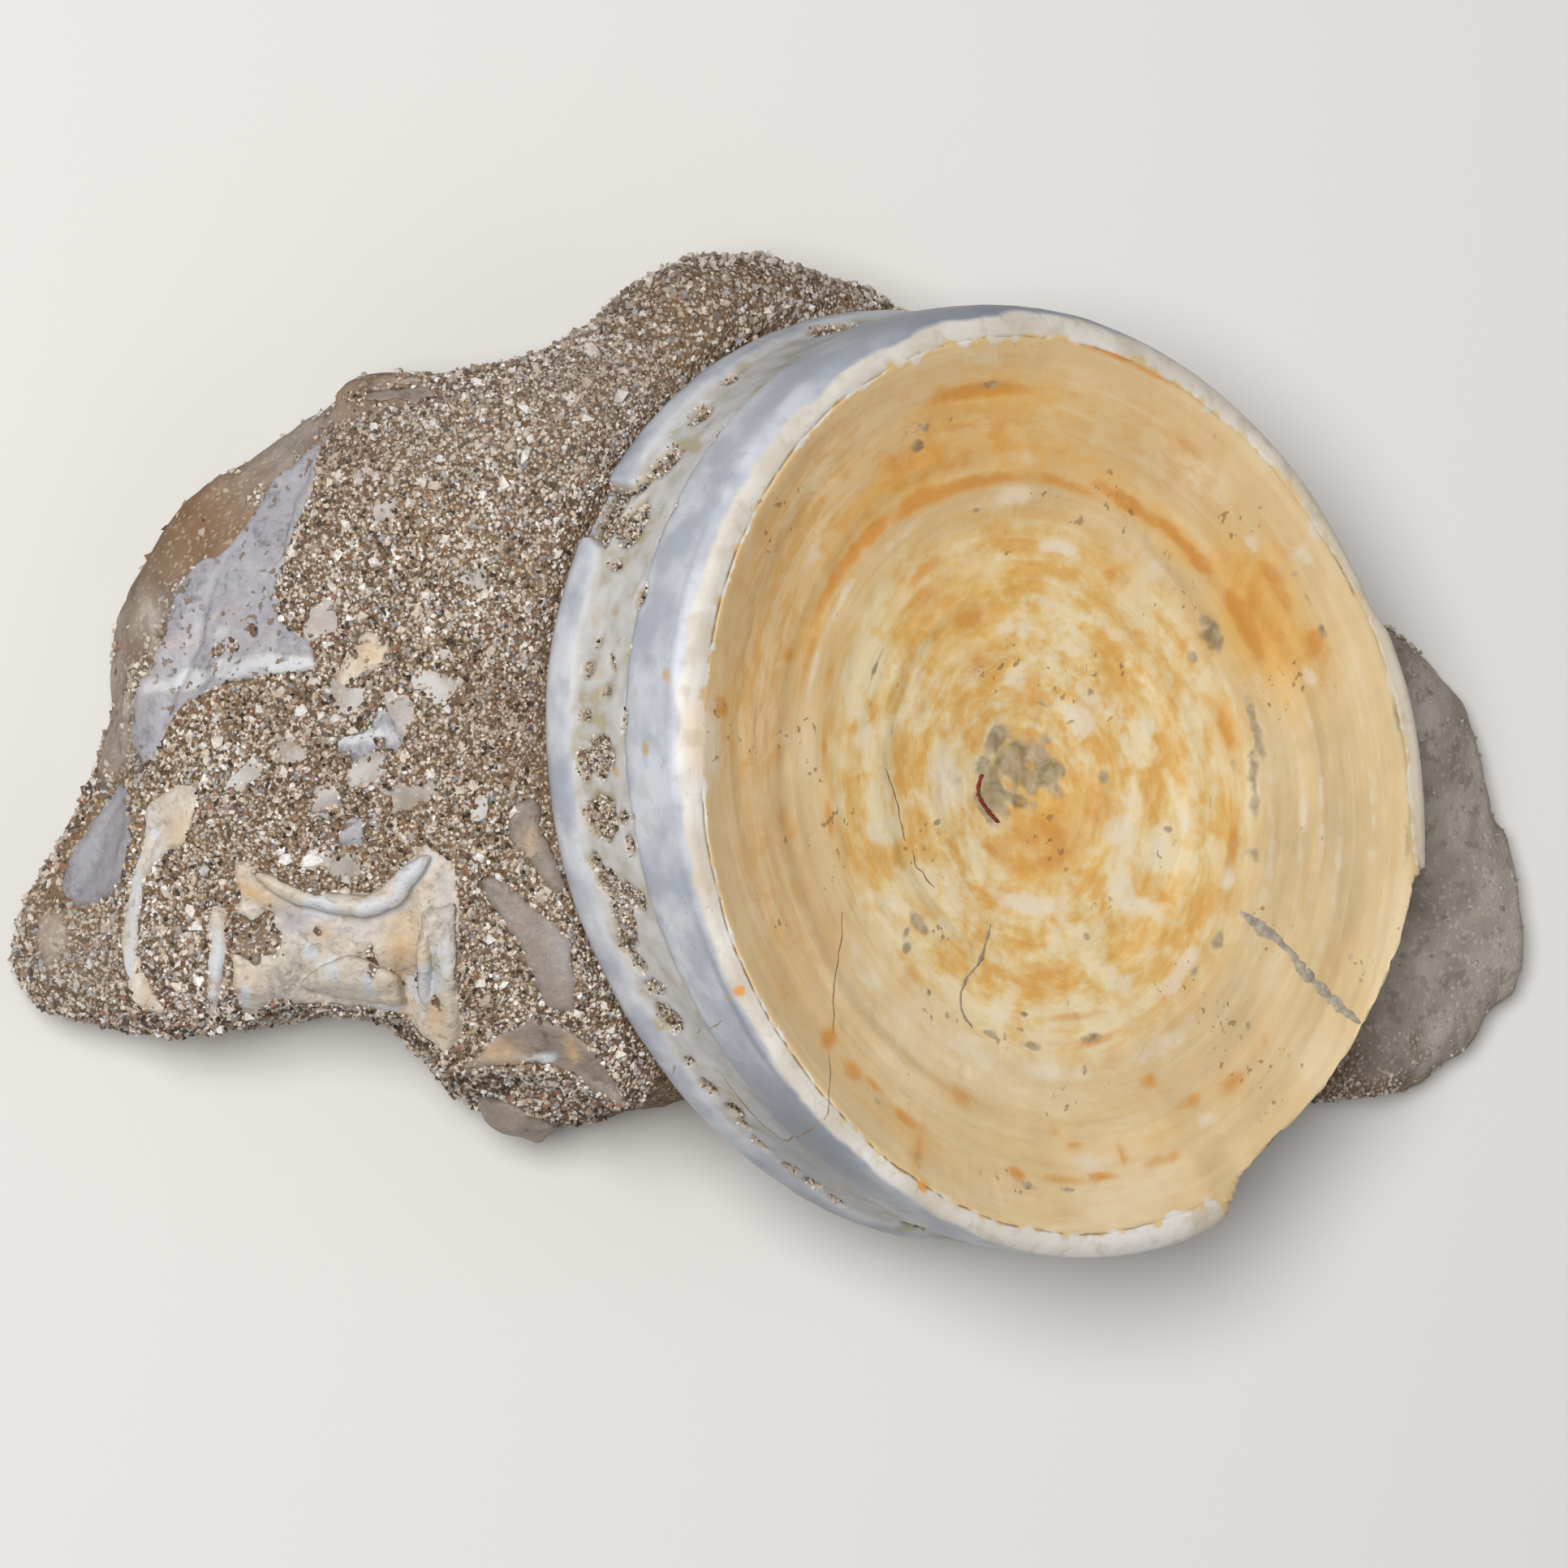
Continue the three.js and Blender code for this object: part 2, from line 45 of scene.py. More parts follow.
bl_info = {
    "name": "Shark vertebra fossil",
    "version": (1, 0, 0),
    "blender": (4, 5, 0),
    "location": "3D View > Sidebar > Fossil",
    "description": "Builds a fossil shark vertebra on its sandstone, and the table it lies on",
    "category": "Object",
}

MM = 0.001

# The disc's form, as in the CAD model.
DISC_RADIUS = 25.2
DISC_OVAL = 0.071
DISC_LONG_AXIS = math.radians(140)
FACE_HEIGHT = 24
CREST = 0.94
GROOVE_TOP = -4.65
GROOVE_FOOT = -9.6
LOWER_RIM_EDGE = -11.75


def turned(pitch, roll=0.0):
    """A frame over the middle of the open face, leaning by these degrees."""
    lean = Matrix.Rotation(math.radians(pitch), 4, "Y") @ Matrix.Rotation(math.radians(roll), 4, "X")
    return Matrix.Translation((0, 0, FACE_HEIGHT)) @ lean


DISC_SEAT = turned(17.6, 1.4)
BENCH_SEAT = turned(-20)


# ---- Sizes and colours ----


def colour(name, description, red, green, blue):
    """A colour property; its default is given in the 0 to 255 steps of a paint chart."""
    chart = [part / 255 for part in (red, green, blue)]
    linear = [part / 12.92 if part < 0.04045 else ((part + 0.055) / 1.055) ** 2.4 for part in chart]
    return bpy.props.FloatVectorProperty(
        name=name, description=description, subtype="COLOR", size=3, min=0, max=1, default=linear
    )


def length(name, description, millimetres):
    return bpy.props.FloatProperty(
        name=name, description=description, subtype="DISTANCE", unit="LENGTH",
        default=millimetres * MM, min=0,
        precision=5,
    )


class VertebraSettings(bpy.types.PropertyGroup):
    cream: colour("Cream", "Pale bone of the open face", 222, 194, 146)
    ochre: colour("Ochre", "Iron stain along the growth rings", 210, 144, 64)
    chalk: colour("Chalk", "Bleached bone of the rim's lip", 216, 205, 187)
    # White bone; its cool bluish tint is a painted reflection of the sky.
    side: colour("Side", "Cool white bone round the side", 178, 183, 194)
    hollow: colour("Groove", "Bone in the groove between the two rims", 187, 183, 177)
    silt: colour("Silt", "Grey sediment in cracks and hollows", 152, 135, 108)
    crack_depth: length("Crack depth", "Depth of the crack inside the lip", 0.12)
    pit_depth: length("Pit depth", "Depth of the sand in the side's holes", 0.6)
    ring_relief: length("Ring relief", "Height of the growth rings", 0.045)


class SandstoneSettings(bpy.types.PropertyGroup):
    # The silt between grains, made darker to stand also as painted shade in the gaps between them.
    binder_and_gap_shade: colour("Binder and gap shade", "The fine silt between the grains", 112, 92, 74)
    grain_size: length("Grain size", "Width of a sand grain before each is varied", 0.25)
    cell: length("Cell", "Mesh width of the lump", 0.42)
    lumps: length("Lumps", "Height of the broken surface's small lumps", 0.3)


class BoneSettings(bpy.types.PropertyGroup):
    pale: colour("Pale bone", "The fan of grey-white bone", 160, 158, 163)
    grey: colour("Grey bone", "The smooth grey lens", 140, 138, 142)
    tan: colour("Tan bone", "The smooth warm grey flakes", 139, 127, 117)
    cream: colour("Cream bone", "The broken bone along the front edge", 195, 185, 171)
    brown: colour("Brown bone", "The brownish shard", 140, 127, 117)
    cell: length("Cell", "Mesh width of a fragment", 0.16)


class StudioSettings(bpy.types.PropertyGroup):
    floor: colour("Floor", "The plain table", 226, 224, 220)
    key_power: bpy.props.FloatProperty(
        name="Key light", description="Power of the large soft light",
        subtype="POWER", unit="POWER", default=3.25
    )
    fill_power: bpy.props.FloatProperty(
        name="Fill light", description="Power of the soft light opposite",
        subtype="POWER", unit="POWER", default=0.3
    )
    sky: bpy.props.FloatProperty(
        name="Room light", description="Strength of the even light from all round", default=0.15, min=0
    )


# ---- Noise and shaping ----


def smoothstep(low, high, value):
    share = np.clip((value - low) / (high - low), 0, 1)
    return share * share * (3 - 2 * share)


def corner_value(i, j, k, seed):
    """A fixed random number between -1 and 1 for each corner of a grid."""
    mixed = (i * 374761393 + j * 668265263 + k * 1442695041 + seed * 974711) & 0xFFFFFFFF
    mixed = ((mixed ^ (mixed >> 13)) * 1274126177) & 0xFFFFFFFF
    return ((mixed ^ (mixed >> 16)) & 0xFFFFFF) / 0x7FFFFF - 1


def noise(points, size, seed=0, octaves=1):
    """Smooth noise, about -1 to 1, with lumps of that size; each octave halves the lumps and their height."""
    total = np.zeros(len(points))
    for octave in range(octaves):
        scaled = points * (2**octave / size) + 17.3 * seed
        base = np.floor(scaled).astype(np.int64)
        part = scaled - base
        part = part * part * (3 - 2 * part)
        for corner in range(8):
            step = np.array([corner & 1, (corner >> 1) & 1, corner >> 2])
            weight = np.prod(np.where(step, part, 1 - part), axis=1)
            i, j, k = (base + step).T
            total += weight * corner_value(i, j, k, seed + octave) / 2**octave
    return total


def placed(points, seat):
    """Points of a leaning frame, in millimetres, as points of the row's frame, in metres."""
    matrix = np.array(seat)
    return (points @ matrix[:3, :3].T + matrix[:3, 3]) * MM


def in_seat(points, seat):
    """Points of the row's frame, in metres, as points of a leaning frame, in millimetres."""
    matrix = np.array(seat.inverted())
    return points / MM @ matrix[:3, :3].T + matrix[:3, 3]


def disc_radius(angle):
    return DISC_RADIUS * (1 + DISC_OVAL * np.cos(2 * (angle - DISC_LONG_AXIS)))


# ---- Meshes ----


def link(name, mesh):
    piece = bpy.data.objects.new(name, mesh)
    bpy.context.scene.collection.objects.link(piece)
    return piece


def drop(piece):
    mesh = piece.data
    bpy.data.objects.remove(piece)
    bpy.data.meshes.remove(mesh)


def mesh_of(name, points, faces):
    """A mesh from points in metres and faces as lists of their numbers."""
    mesh = bpy.data.meshes.new(name)
    mesh.from_pydata(points.tolist(), [], faces)
    mesh.update()
    return mesh


def smooth_shaded(mesh):
    mesh.polygons.foreach_set("use_smooth", np.ones(len(mesh.polygons), bool))
    mesh.update()


def corners_of(mesh):
    """The corners of a mesh in metres, and their normals."""
    points = np.empty(len(mesh.vertices) * 3)
    mesh.vertices.foreach_get("co", points)
    normals = np.empty(len(mesh.vertices) * 3)
    mesh.vertices.foreach_get("normal", normals)
    return points.reshape(-1, 3), normals.reshape(-1, 3)


def move_corners(mesh, points):
    mesh.vertices.foreach_set("co", points.ravel())
    mesh.update()


def store(mesh, name, values):
    """Keeps one number, or one vector, for each corner of a mesh."""
    is_vector = values.ndim == 2
    attribute = mesh.attributes.new(name, "FLOAT_VECTOR" if is_vector else "FLOAT", "POINT")
    attribute.data.foreach_set("vector" if is_vector else "value", values.astype(np.float32).ravel())


def evaluated(piece):
    """A plain mesh of a piece as its modifiers leave it."""
    graph = bpy.context.evaluated_depsgraph_get()
    return bpy.data.meshes.new_from_object(piece.evaluated_get(graph))


def bare_copy(node):
    """A copy of a CAD node's mesh with its corners joined."""
    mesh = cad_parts[node].data.copy()
    shell = bmesh.new()
    shell.from_mesh(mesh)
    bmesh.ops.remove_doubles(shell, verts=shell.verts, dist=1e-6)
    shell.to_mesh(mesh)
    shell.free()
    return mesh


def in_cells(mesh, cell, rounding):
    """A closed mesh of the same form in cells of that width, with its edges rounded off."""
    work = link("work", mesh)
    cells = work.modifiers.new("Cells", "REMESH")
    cells.mode = "VOXEL"
    cells.voxel_size = cell
    smooth = work.modifiers.new("Rounding", "SMOOTH")
    smooth.factor = 0.5
    smooth.iterations = rounding
    fine = evaluated(work)
    drop(work)
    fine.materials.clear()
    smooth_shaded(fine)
    return fine


def joined(meshes):
    """One bare mesh of several."""
    points, faces = [], []
    for mesh in meshes:
        start = len(points)
        points += corners_of(mesh)[0].tolist()
        faces += [[start + number for number in face.vertices] for face in mesh.polygons]
    return mesh_of("joined", np.array(points), faces)


def finish_piece(piece, material, nodes=()):
    piece.data.materials.clear()
    piece.data.materials.append(material)
    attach(piece, "root")
    if nodes:
        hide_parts(*nodes)


# ---- Materials ----


class Paint:
    """A material whose nodes are written as calls that give sockets back."""

    def __init__(self, name, roughness, specular=0.4):
        self.material = bpy.data.materials.new(name)
        self.material.use_nodes = True
        self.tree = self.material.node_tree
        self.shader = self.tree.nodes["Principled BSDF"]
        self.shader.inputs["Roughness"].default_value = roughness
        self.shader.inputs["Specular IOR Level"].default_value = specular

    def put(self, socket, value):
        if isinstance(value, bpy.types.NodeSocket):
            self.tree.links.new(value, socket)
        elif value is not None:
            socket.default_value = value

    def node(self, kind, **settings):
        node = self.tree.nodes.new(kind)
        for name, value in settings.items():
            setattr(node, name, value)
        return node

    def place(self):
        return self.node("ShaderNodeTexCoord").outputs["Object"]

    def parts(self, vector):
        node = self.node("ShaderNodeSeparateXYZ")
        self.put(node.inputs[0], vector)
        return node.outputs

    def number(self, name):
        return self.node("ShaderNodeAttribute", attribute_name=name).outputs["Fac"]

    def vector(self, name):
        return self.node("ShaderNodeAttribute", attribute_name=name).outputs["Vector"]

    def scaled(self, vector, x, y, z):
        node = self.node("ShaderNodeMapping")
        self.put(node.inputs["Vector"], vector)
        node.inputs["Scale"].default_value = (x, y, z)
        return node.outputs["Vector"]

    def noise(self, vector, scale, detail=3.0, distortion=0.0):
        node = self.node("ShaderNodeTexNoise")
        self.put(node.inputs["Vector"], vector)
        node.inputs["Scale"].default_value = scale
        node.inputs["Detail"].default_value = detail
        node.inputs["Distortion"].default_value = distortion
        return node.outputs["Fac"]

    def cells(self, vector, scale, randomness=1.0):
        """Distance from the middle of the nearest cell, and that cell's own random colour."""
        node = self.node("ShaderNodeTexVoronoi")
        self.put(node.inputs["Vector"], vector)
        node.inputs["Scale"].default_value = scale
        node.inputs["Randomness"].default_value = randomness
        return node.outputs["Distance"], node.outputs["Color"]

    def math(self, operation, a, b=None, c=None):
        node = self.node("ShaderNodeMath", operation=operation)
        for socket, value in zip(node.inputs, (a, b, c)):
            self.put(socket, value)
        return node.outputs[0]

    def span(self, value, low, high, to_low=0.0, to_high=1.0):
        """The value's place between low and high, held inside them, as a number between two others."""
        node = self.node("ShaderNodeMapRange", interpolation_type="SMOOTHSTEP")
        for socket, part in zip(node.inputs, (value, low, high, to_low, to_high)):
            self.put(socket, part)
        return node.outputs[0]

    def mix(self, share, a, b, blend="MIX"):
        node = self.node("ShaderNodeMix", data_type="RGBA", blend_type=blend)
        for index, value in ((0, share), (6, a), (7, b)):
            self.put(
                node.inputs[index], (*value, 1) if isinstance(value, tuple) and len(value) == 3 else value
            )
        return node.outputs[2]

    def ramp(self, value, stops, interpolation="LINEAR"):
        node = self.node("ShaderNodeValToRGB")
        node.color_ramp.interpolation = interpolation
        self.put(node.inputs["Fac"], value)
        elements = node.color_ramp.elements
        while len(elements) < len(stops):
            elements.new(0.5)
        for element, (place, tone) in zip(elements, stops):
            element.position = place
            element.color = (*tone, 1)
        return node.outputs["Color"]

    def bump(self, height, distance, strength=1.0, onto=None):
        node = self.node("ShaderNodeBump")
        node.inputs["Strength"].default_value = strength
        node.inputs["Distance"].default_value = distance
        self.put(node.inputs["Height"], height)
        self.put(node.inputs["Normal"], onto)
        return node.outputs["Normal"]

    def finish(self, tone, normal=None, roughness=None):
        self.put(self.shader.inputs["Base Color"], tone)
        self.put(self.shader.inputs["Normal"], normal)
        self.put(self.shader.inputs["Roughness"], roughness)
        return self.material


def tone(red, green, blue):
    """A colour from the 0 to 255 steps of a paint chart."""
    chart = [part / 255 for part in (red, green, blue)]
    return tuple(part / 12.92 if part < 0.04045 else ((part + 0.055) / 1.055) ** 2.4 for part in chart)


def shade(base, share):
    return tuple(part * share for part in base)


# ---- The vertebra ----

# Section from the middle of the open face over the rim and down to the middle of the back: distance from
# the axis as a part of the radius, height, and how far apart the mesh's rows are from there on.
SECTION = [
    (0, -3.6, 0.27), (0.15, -3.25, 0.26), (0.38, -2.65, 0.22), (0.41, -2.4, 0.22), (0.53, -2.1, 0.22),
    (0.58, -1.85, 0.22), (0.68, -1.6, 0.22), (0.72, -1.3, 0.22), (0.82, -0.95, 0.22), (0.89, -0.4, 0.2),
    (0.92, -0.12, 0.1), (0.933, -0.03, 0.06), (0.947, -0.01, 0.1), (0.975, -0.15, 0.14), (0.99, -0.4, 0.14),
    (1, -0.75, 0.24), (1, -2.6, 0.22), (0.998, -4.3, 0.12), (0.984, -4.7, 0.2), (0.978, -7, 0.2),
    (0.981, -9.2, 0.15), (0.996, -9.6, 0.24), (1, -11.1, 0.26), (0.985, -11.8, 0.5), (0.93, -11.8, 1.5),
    (0.8, -10.8, 1.6), (0.5, -9.6, 1.8), (0, -8.4, 1.8),
]
# The line of the crack inside the lip: direction in degrees and distance as a part of the radius.
LIP_LINE = [
    (0, 0.958), (20, 0.96), (36, 0.946), (50, 0.948), (70, 0.944), (95, 0.936), (150, 0.93), (166, 0.925),
    (182, 0.94), (200, 0.956), (250, 0.956), (270, 0.948), (285, 0.936), (296, 0.935), (303, 1.0), (345, 1.0),
    (352, 0.962), (360, 0.958),
]
# How open that crack is round the rim.
LIP_OPENING = [
    (0, 0.2), (60, 0.4), (90, 0.7), (120, 0.6), (136, 0.8), (164, 0.9), (168, 0.0), (179, 0.0), (182, 0.8),
    (204, 1.0), (222, 0.8), (250, 0.9), (285, 0.7), (296, 0.2), (360, 0.1),
]
# How far the rim swells out or falls back, in mm.
RIM_SWELL = [
    (0, 0.45), (12, 0.5), (20, 0.4), (24, -0.1), (36, 0.0), (45, 0.15), (60, 0.1), (90, 0.0), (340, 0.0),
    (350, 0.45), (360, 0.45),
]
# The outline where the lip has broken away.
BROKEN_EDGE = [
    (0, 1), (296.5, 1), (298, 0.965), (301, 0.93), (306, 0.915), (311, 0.915), (316, 0.925), (323, 0.932),
    (329, 0.94), (332, 0.945), (340, 0.962), (348, 0.972), (350, 1), (360, 1),
]
BREAK_FOOT = -4.4
# How far across the lip its chalky white reaches, as a part of its width.
LIP_WIDTH = [
    (0, 0.9), (60, 0.85), (95, 0.7), (118, 0.45), (138, 0.5), (160, 0.7), (200, 0.75), (250, 0.8), (290, 0.9),
    (360, 0.9)
]
BACK_RIM_GAP = (145, 152, 1.45)
# Holes in the groove and along its upper edge: direction, height, half length round the rim, half height,
# and the slant in degrees.
PITS = [
    (127, -8.9, 0.4, 0.35, 20), (133.5, -8.4, 0.9, 0.7, 30), (141, -8.1, 1.0, 0.95, 0),
    (144.4, -8.8, 0.6, 0.5, 0), (149.5, -8.1, 1.3, 1.1, 0), (154.7, -8.2, 0.18, 0.6, -8),
    (163.6, -7.8, 0.2, 0.15, 0), (167, -8.4, 0.35, 0.6, 10), (166.2, -6.4, 0.5, 0.18, 45),
    (169.4, -6.7, 0.16, 0.4, -12), (172.2, -8.5, 0.22, 0.5, 0), (177, -7.2, 1.05, 1.3, 0),
    (177.8, -8.6, 0.8, 0.6, 0), (184.2, -7.7, 1.15, 1.4, 0), (187.4, -5.5, 0.6, 0.3, 0),
    (184, -5.7, 0.3, 0.5, 0), (190, -8.9, 0.7, 0.4, 20), (194, -6.6, 0.6, 1.3, -15),
    (192.6, -8.3, 0.8, 0.9, 0), (197.4, -8.0, 1.6, 0.95, -8), (201, -8.6, 0.8, 0.6, 0),
    (203.4, -8.3, 0.5, 0.55, 30), (207, -8.0, 0.45, 0.9, 10), (211.7, -8.2, 0.95, 0.9, -10),
    (219.3, -8.8, 0.25, 0.4, 0), (224, -8.9, 0.7, 0.35, 0), (228.7, -8.5, 0.7, 0.6, 0),
    (231.6, -8.8, 0.5, 0.4, 0), (236, -9.2, 0.6, 0.2, 0), (241.8, -9.0, 0.6, 0.4, 0),
    (246, -9.0, 0.6, 0.35, 0), (251, -9.2, 0.6, 0.2, 0), (131, -4.6, 0.14, 0.35, -20),
    (137.2, -4.7, 0.3, 0.22, 0), (139.3, -4.5, 0.4, 0.22, 0), (148.3, -4.5, 0.4, 0.25, 0),
    (152, -4.5, 0.16, 0.22, 0), (158.7, -4.6, 0.75, 0.7, 0), (165, -4.7, 0.25, 0.3, 0),
    (169.7, -4.5, 0.3, 0.2, 0), (172.8, -4.6, 0.65, 0.4, 0), (177, -4.7, 0.18, 0.14, 0),
    (184, -4.6, 0.16, 0.4, 0), (187.4, -4.6, 0.45, 0.12, 0),
]
FAR_PITS = {"start": 262, "end": 480, "step": 11}
# Stains on the open face: direction, distance from the axis in mm on a round disc, half span in degrees,
# half width in mm, and strength. First the ochre rings and blots, then the warmer bone round them, the pale
# places, and the grey silt in the hollows.
OCHRE_MARKS = [
    (33, 17.3, 9, 0.7, 1.6), (32, 18.3, 16, 2.2, 0.75), (52, 17.1, 14, 0.45, 1.3), (70, 16.8, 10, 0.45, 1.4),
    (88, 16.3, 12, 0.4, 0.9), (110, 16.2, 14, 0.45, 1.3), (122, 16.4, 8, 0.5, 1.4), (133, 16.6, 8, 0.45, 1.4),
    (146, 16.7, 8, 0.4, 1.1), (158, 16.3, 8, 0.35, 0.8), (113, 17.4, 12, 0.6, 0.9), (120, 19.0, 14, 0.5, 0.7),
    (115, 18.0, 26, 2.0, 0.6), (22, 20.6, 7, 1.0, 0.85), (35, 20, 7, 0.7, 0.9), (42, 21.4, 6, 0.4, 0.6),
    (13, 13.6, 7, 0.5, 1.2), (120, 7.0, 9, 0.7, 0.8), (118, 9.3, 10, 0.9, 0.85), (128, 11.8, 10, 0.9, 0.7),
    (125, 13, 12, 0.6, 0.6), (67, 13, 6, 0.9, 0.7), (60, 2.6, 40, 0.9, 0.6), (85, 4.7, 18, 0.5, 0.6),
    (300, 2.8, 55, 1.3, 0.9), (290, 4.3, 60, 0.8, 0.8), (345, 4.6, 20, 1.2, 0.8), (235, 4.5, 12, 0.35, 0.9),
    (106, 20.9, 9, 0.4, 1.4), (112, 21.3, 2, 0.5, 0.7), (172, 14.4, 7, 0.25, 1.0), (187, 14.5, 5, 0.3, 0.9),
    (158, 14.7, 7, 0.35, 0.6), (187, 17.4, 3, 0.9, 0.7), (174, 18, 4, 1.3, 0.5), (159, 17.8, 1.5, 0.7, 0.8),
    (176, 20, 3, 1.2, 0.5), (170, 22.4, 1.3, 1.0, 1.5), (221.3, 21.3, 1.8, 0.8, 1.0),
    (228, 21.4, 2.5, 0.6, 0.9), (233, 21.0, 3, 0.3, 0.9), (240, 21.3, 5, 0.4, 0.8),
    (244, 22.8, 1.6, 1.6, 0.8), (246, 24.2, 1.5, 0.5, 1.0), (206, 24.9, 0.9, 0.4, 1.0),
    (264, 21.1, 2, 0.35, 1.0), (273, 21.0, 5, 0.35, 0.9), (280, 20.8, 3, 0.25, 1.1),
    (285, 19.9, 0.9, 0.8, 0.9), (276, 19.1, 2.2, 0.3, 0.9), (272, 18.4, 2, 0.45, 0.7),
    (292, 20.7, 4, 0.4, 0.8), (301, 18.8, 3.5, 0.35, 0.9), (309, 19.5, 4, 0.7, 0.7),
    (295, 16.7, 2.2, 0.45, 1.1), (250, 18.3, 5, 0.7, 0.7), (317, 19.4, 4, 0.6, 0.6),
    (281, 12.4, 10, 0.3, 0.7), (285, 13.8, 14, 0.25, 0.7), (270, 8.6, 8, 0.3, 0.7), (280, 10, 10, 0.35, 0.6),
    (265, 10.8, 5, 0.3, 0.7), (65, 21.5, 6, 0.5, 0.5), (88, 21, 3, 0.25, 0.7), (92, 18, 8, 0.5, 0.5),
    (348, 13.4, 8, 0.4, 0.8), (335, 21, 7, 1, 0.45), (80, 23.6, 12, 0.2, 0.9), (5, 10.5, 12, 0.8, 0.4),
    (200, 12.6, 8, 0.5, 0.5), (150, 8.2, 10, 0.5, 0.5), (210, 22.3, 8, 0.6, 0.4), (150, 5.6, 20, 0.6, 0.4),
]
GLOW_MARKS = [
    (112, 17.6, 40, 1.5, 0.8), (60, 17.0, 26, 1.2, 0.8), (31, 18.2, 16, 2.8, 1.5), (150, 16.8, 20, 1.2, 0.6),
    (118, 9.5, 26, 3.0, 0.6), (300, 3.0, 60, 3.0, 0.9), (345, 4.0, 30, 2.2, 0.7), (100, 20.4, 22, 1.4, 0.6),
    (13, 13.5, 10, 0.9, 0.9), (283, 19.6, 25, 1.2, 0.4), (242, 22.0, 14, 1.1, 0.4), (350, 13.0, 12, 1.0, 0.5),
    (170, 21.5, 6, 1.6, 0.5), (68, 13.0, 12, 1.2, 0.6), (205, 12.6, 12, 0.9, 0.4),
]
PALE_MARKS = [
    (45, 5.3, 14, 0.8, 1.3), (180, 5.6, 16, 0.8, 0.9), (100, 5.6, 10, 0.5, 1.0), (340, 6.1, 12, 0.9, 1.2),
    (84, 12.9, 8, 0.4, 1.1), (100, 8.3, 10, 0.4, 1.0), (45, 6.6, 12, 0.8, 0.8), (35, 7.6, 10, 0.6, 0.6),
    (58, 10.2, 14, 0.4, 0.8), (268, 6.5, 24, 0.6, 1.2), (345, 6.8, 14, 0.5, 1.0), (318, 8.3, 6, 1.3, 1.0),
    (322, 10.5, 5, 0.9, 0.8), (165, 11.6, 5, 1.2, 0.7), (140, 10.5, 8, 0.5, 0.6), (193, 11.4, 4, 1.2, 0.9),
    (205, 10.8, 6, 0.5, 0.7), (213, 12.5, 6, 0.9, 0.7), (350, 10.4, 4, 0.5, 1.0), (340, 9, 6, 0.4, 0.7),
    (314, 13.3, 12, 0.45, 1.1), (338, 13.5, 3, 0.45, 1.0), (127, 15.3, 5, 0.3, 0.8),
    (146, 15.7, 8, 0.25, 0.9), (160, 15.8, 6, 0.25, 0.9), (144, 18.8, 4, 0.7, 0.8), (122, 22, 8, 0.8, 0.5),
    (105, 22.5, 8, 0.5, 0.5), (225, 16.2, 14, 0.8, 0.8), (250, 15.5, 16, 0.9, 0.9), (276, 15.3, 16, 0.6, 0.9),
    (300, 15.4, 14, 0.6, 0.8), (228, 18, 10, 0.8, 0.4), (278, 20.1, 6, 0.55, 0.8), (302, 20, 2, 0.5, 0.8),
    (18, 19.6, 2, 0.5, 1.1), (44, 20.3, 2.2, 0.5, 1.1), (36, 22.4, 2, 0.6, 0.8), (20, 16.5, 4, 0.6, 0.5),
    (174, 23.3, 6, 1.3, 1.1), (100, 15.2, 9, 0.7, 0.8), (97, 17.3, 4, 0.5, 0.6), (60, 14.8, 10, 0.8, 0.6),
    (355, 17.7, 14, 0.22, 0.9), (2, 18.8, 18, 0.25, 0.8), (350, 15.8, 12, 0.4, 0.7),
    (345, 20.0, 12, 0.2, 0.6), (0, 22.0, 16, 0.25, 0.6), (90, 9.9, 12, 0.4, 0.7), (112, 13.3, 6, 0.4, 0.5),
    (222, 8.2, 12, 0.7, 0.5), (300, 11.5, 8, 0.5, 0.6), (262, 13.0, 8, 0.5, 0.6), (15, 8.9, 14, 0.5, 0.6),
]
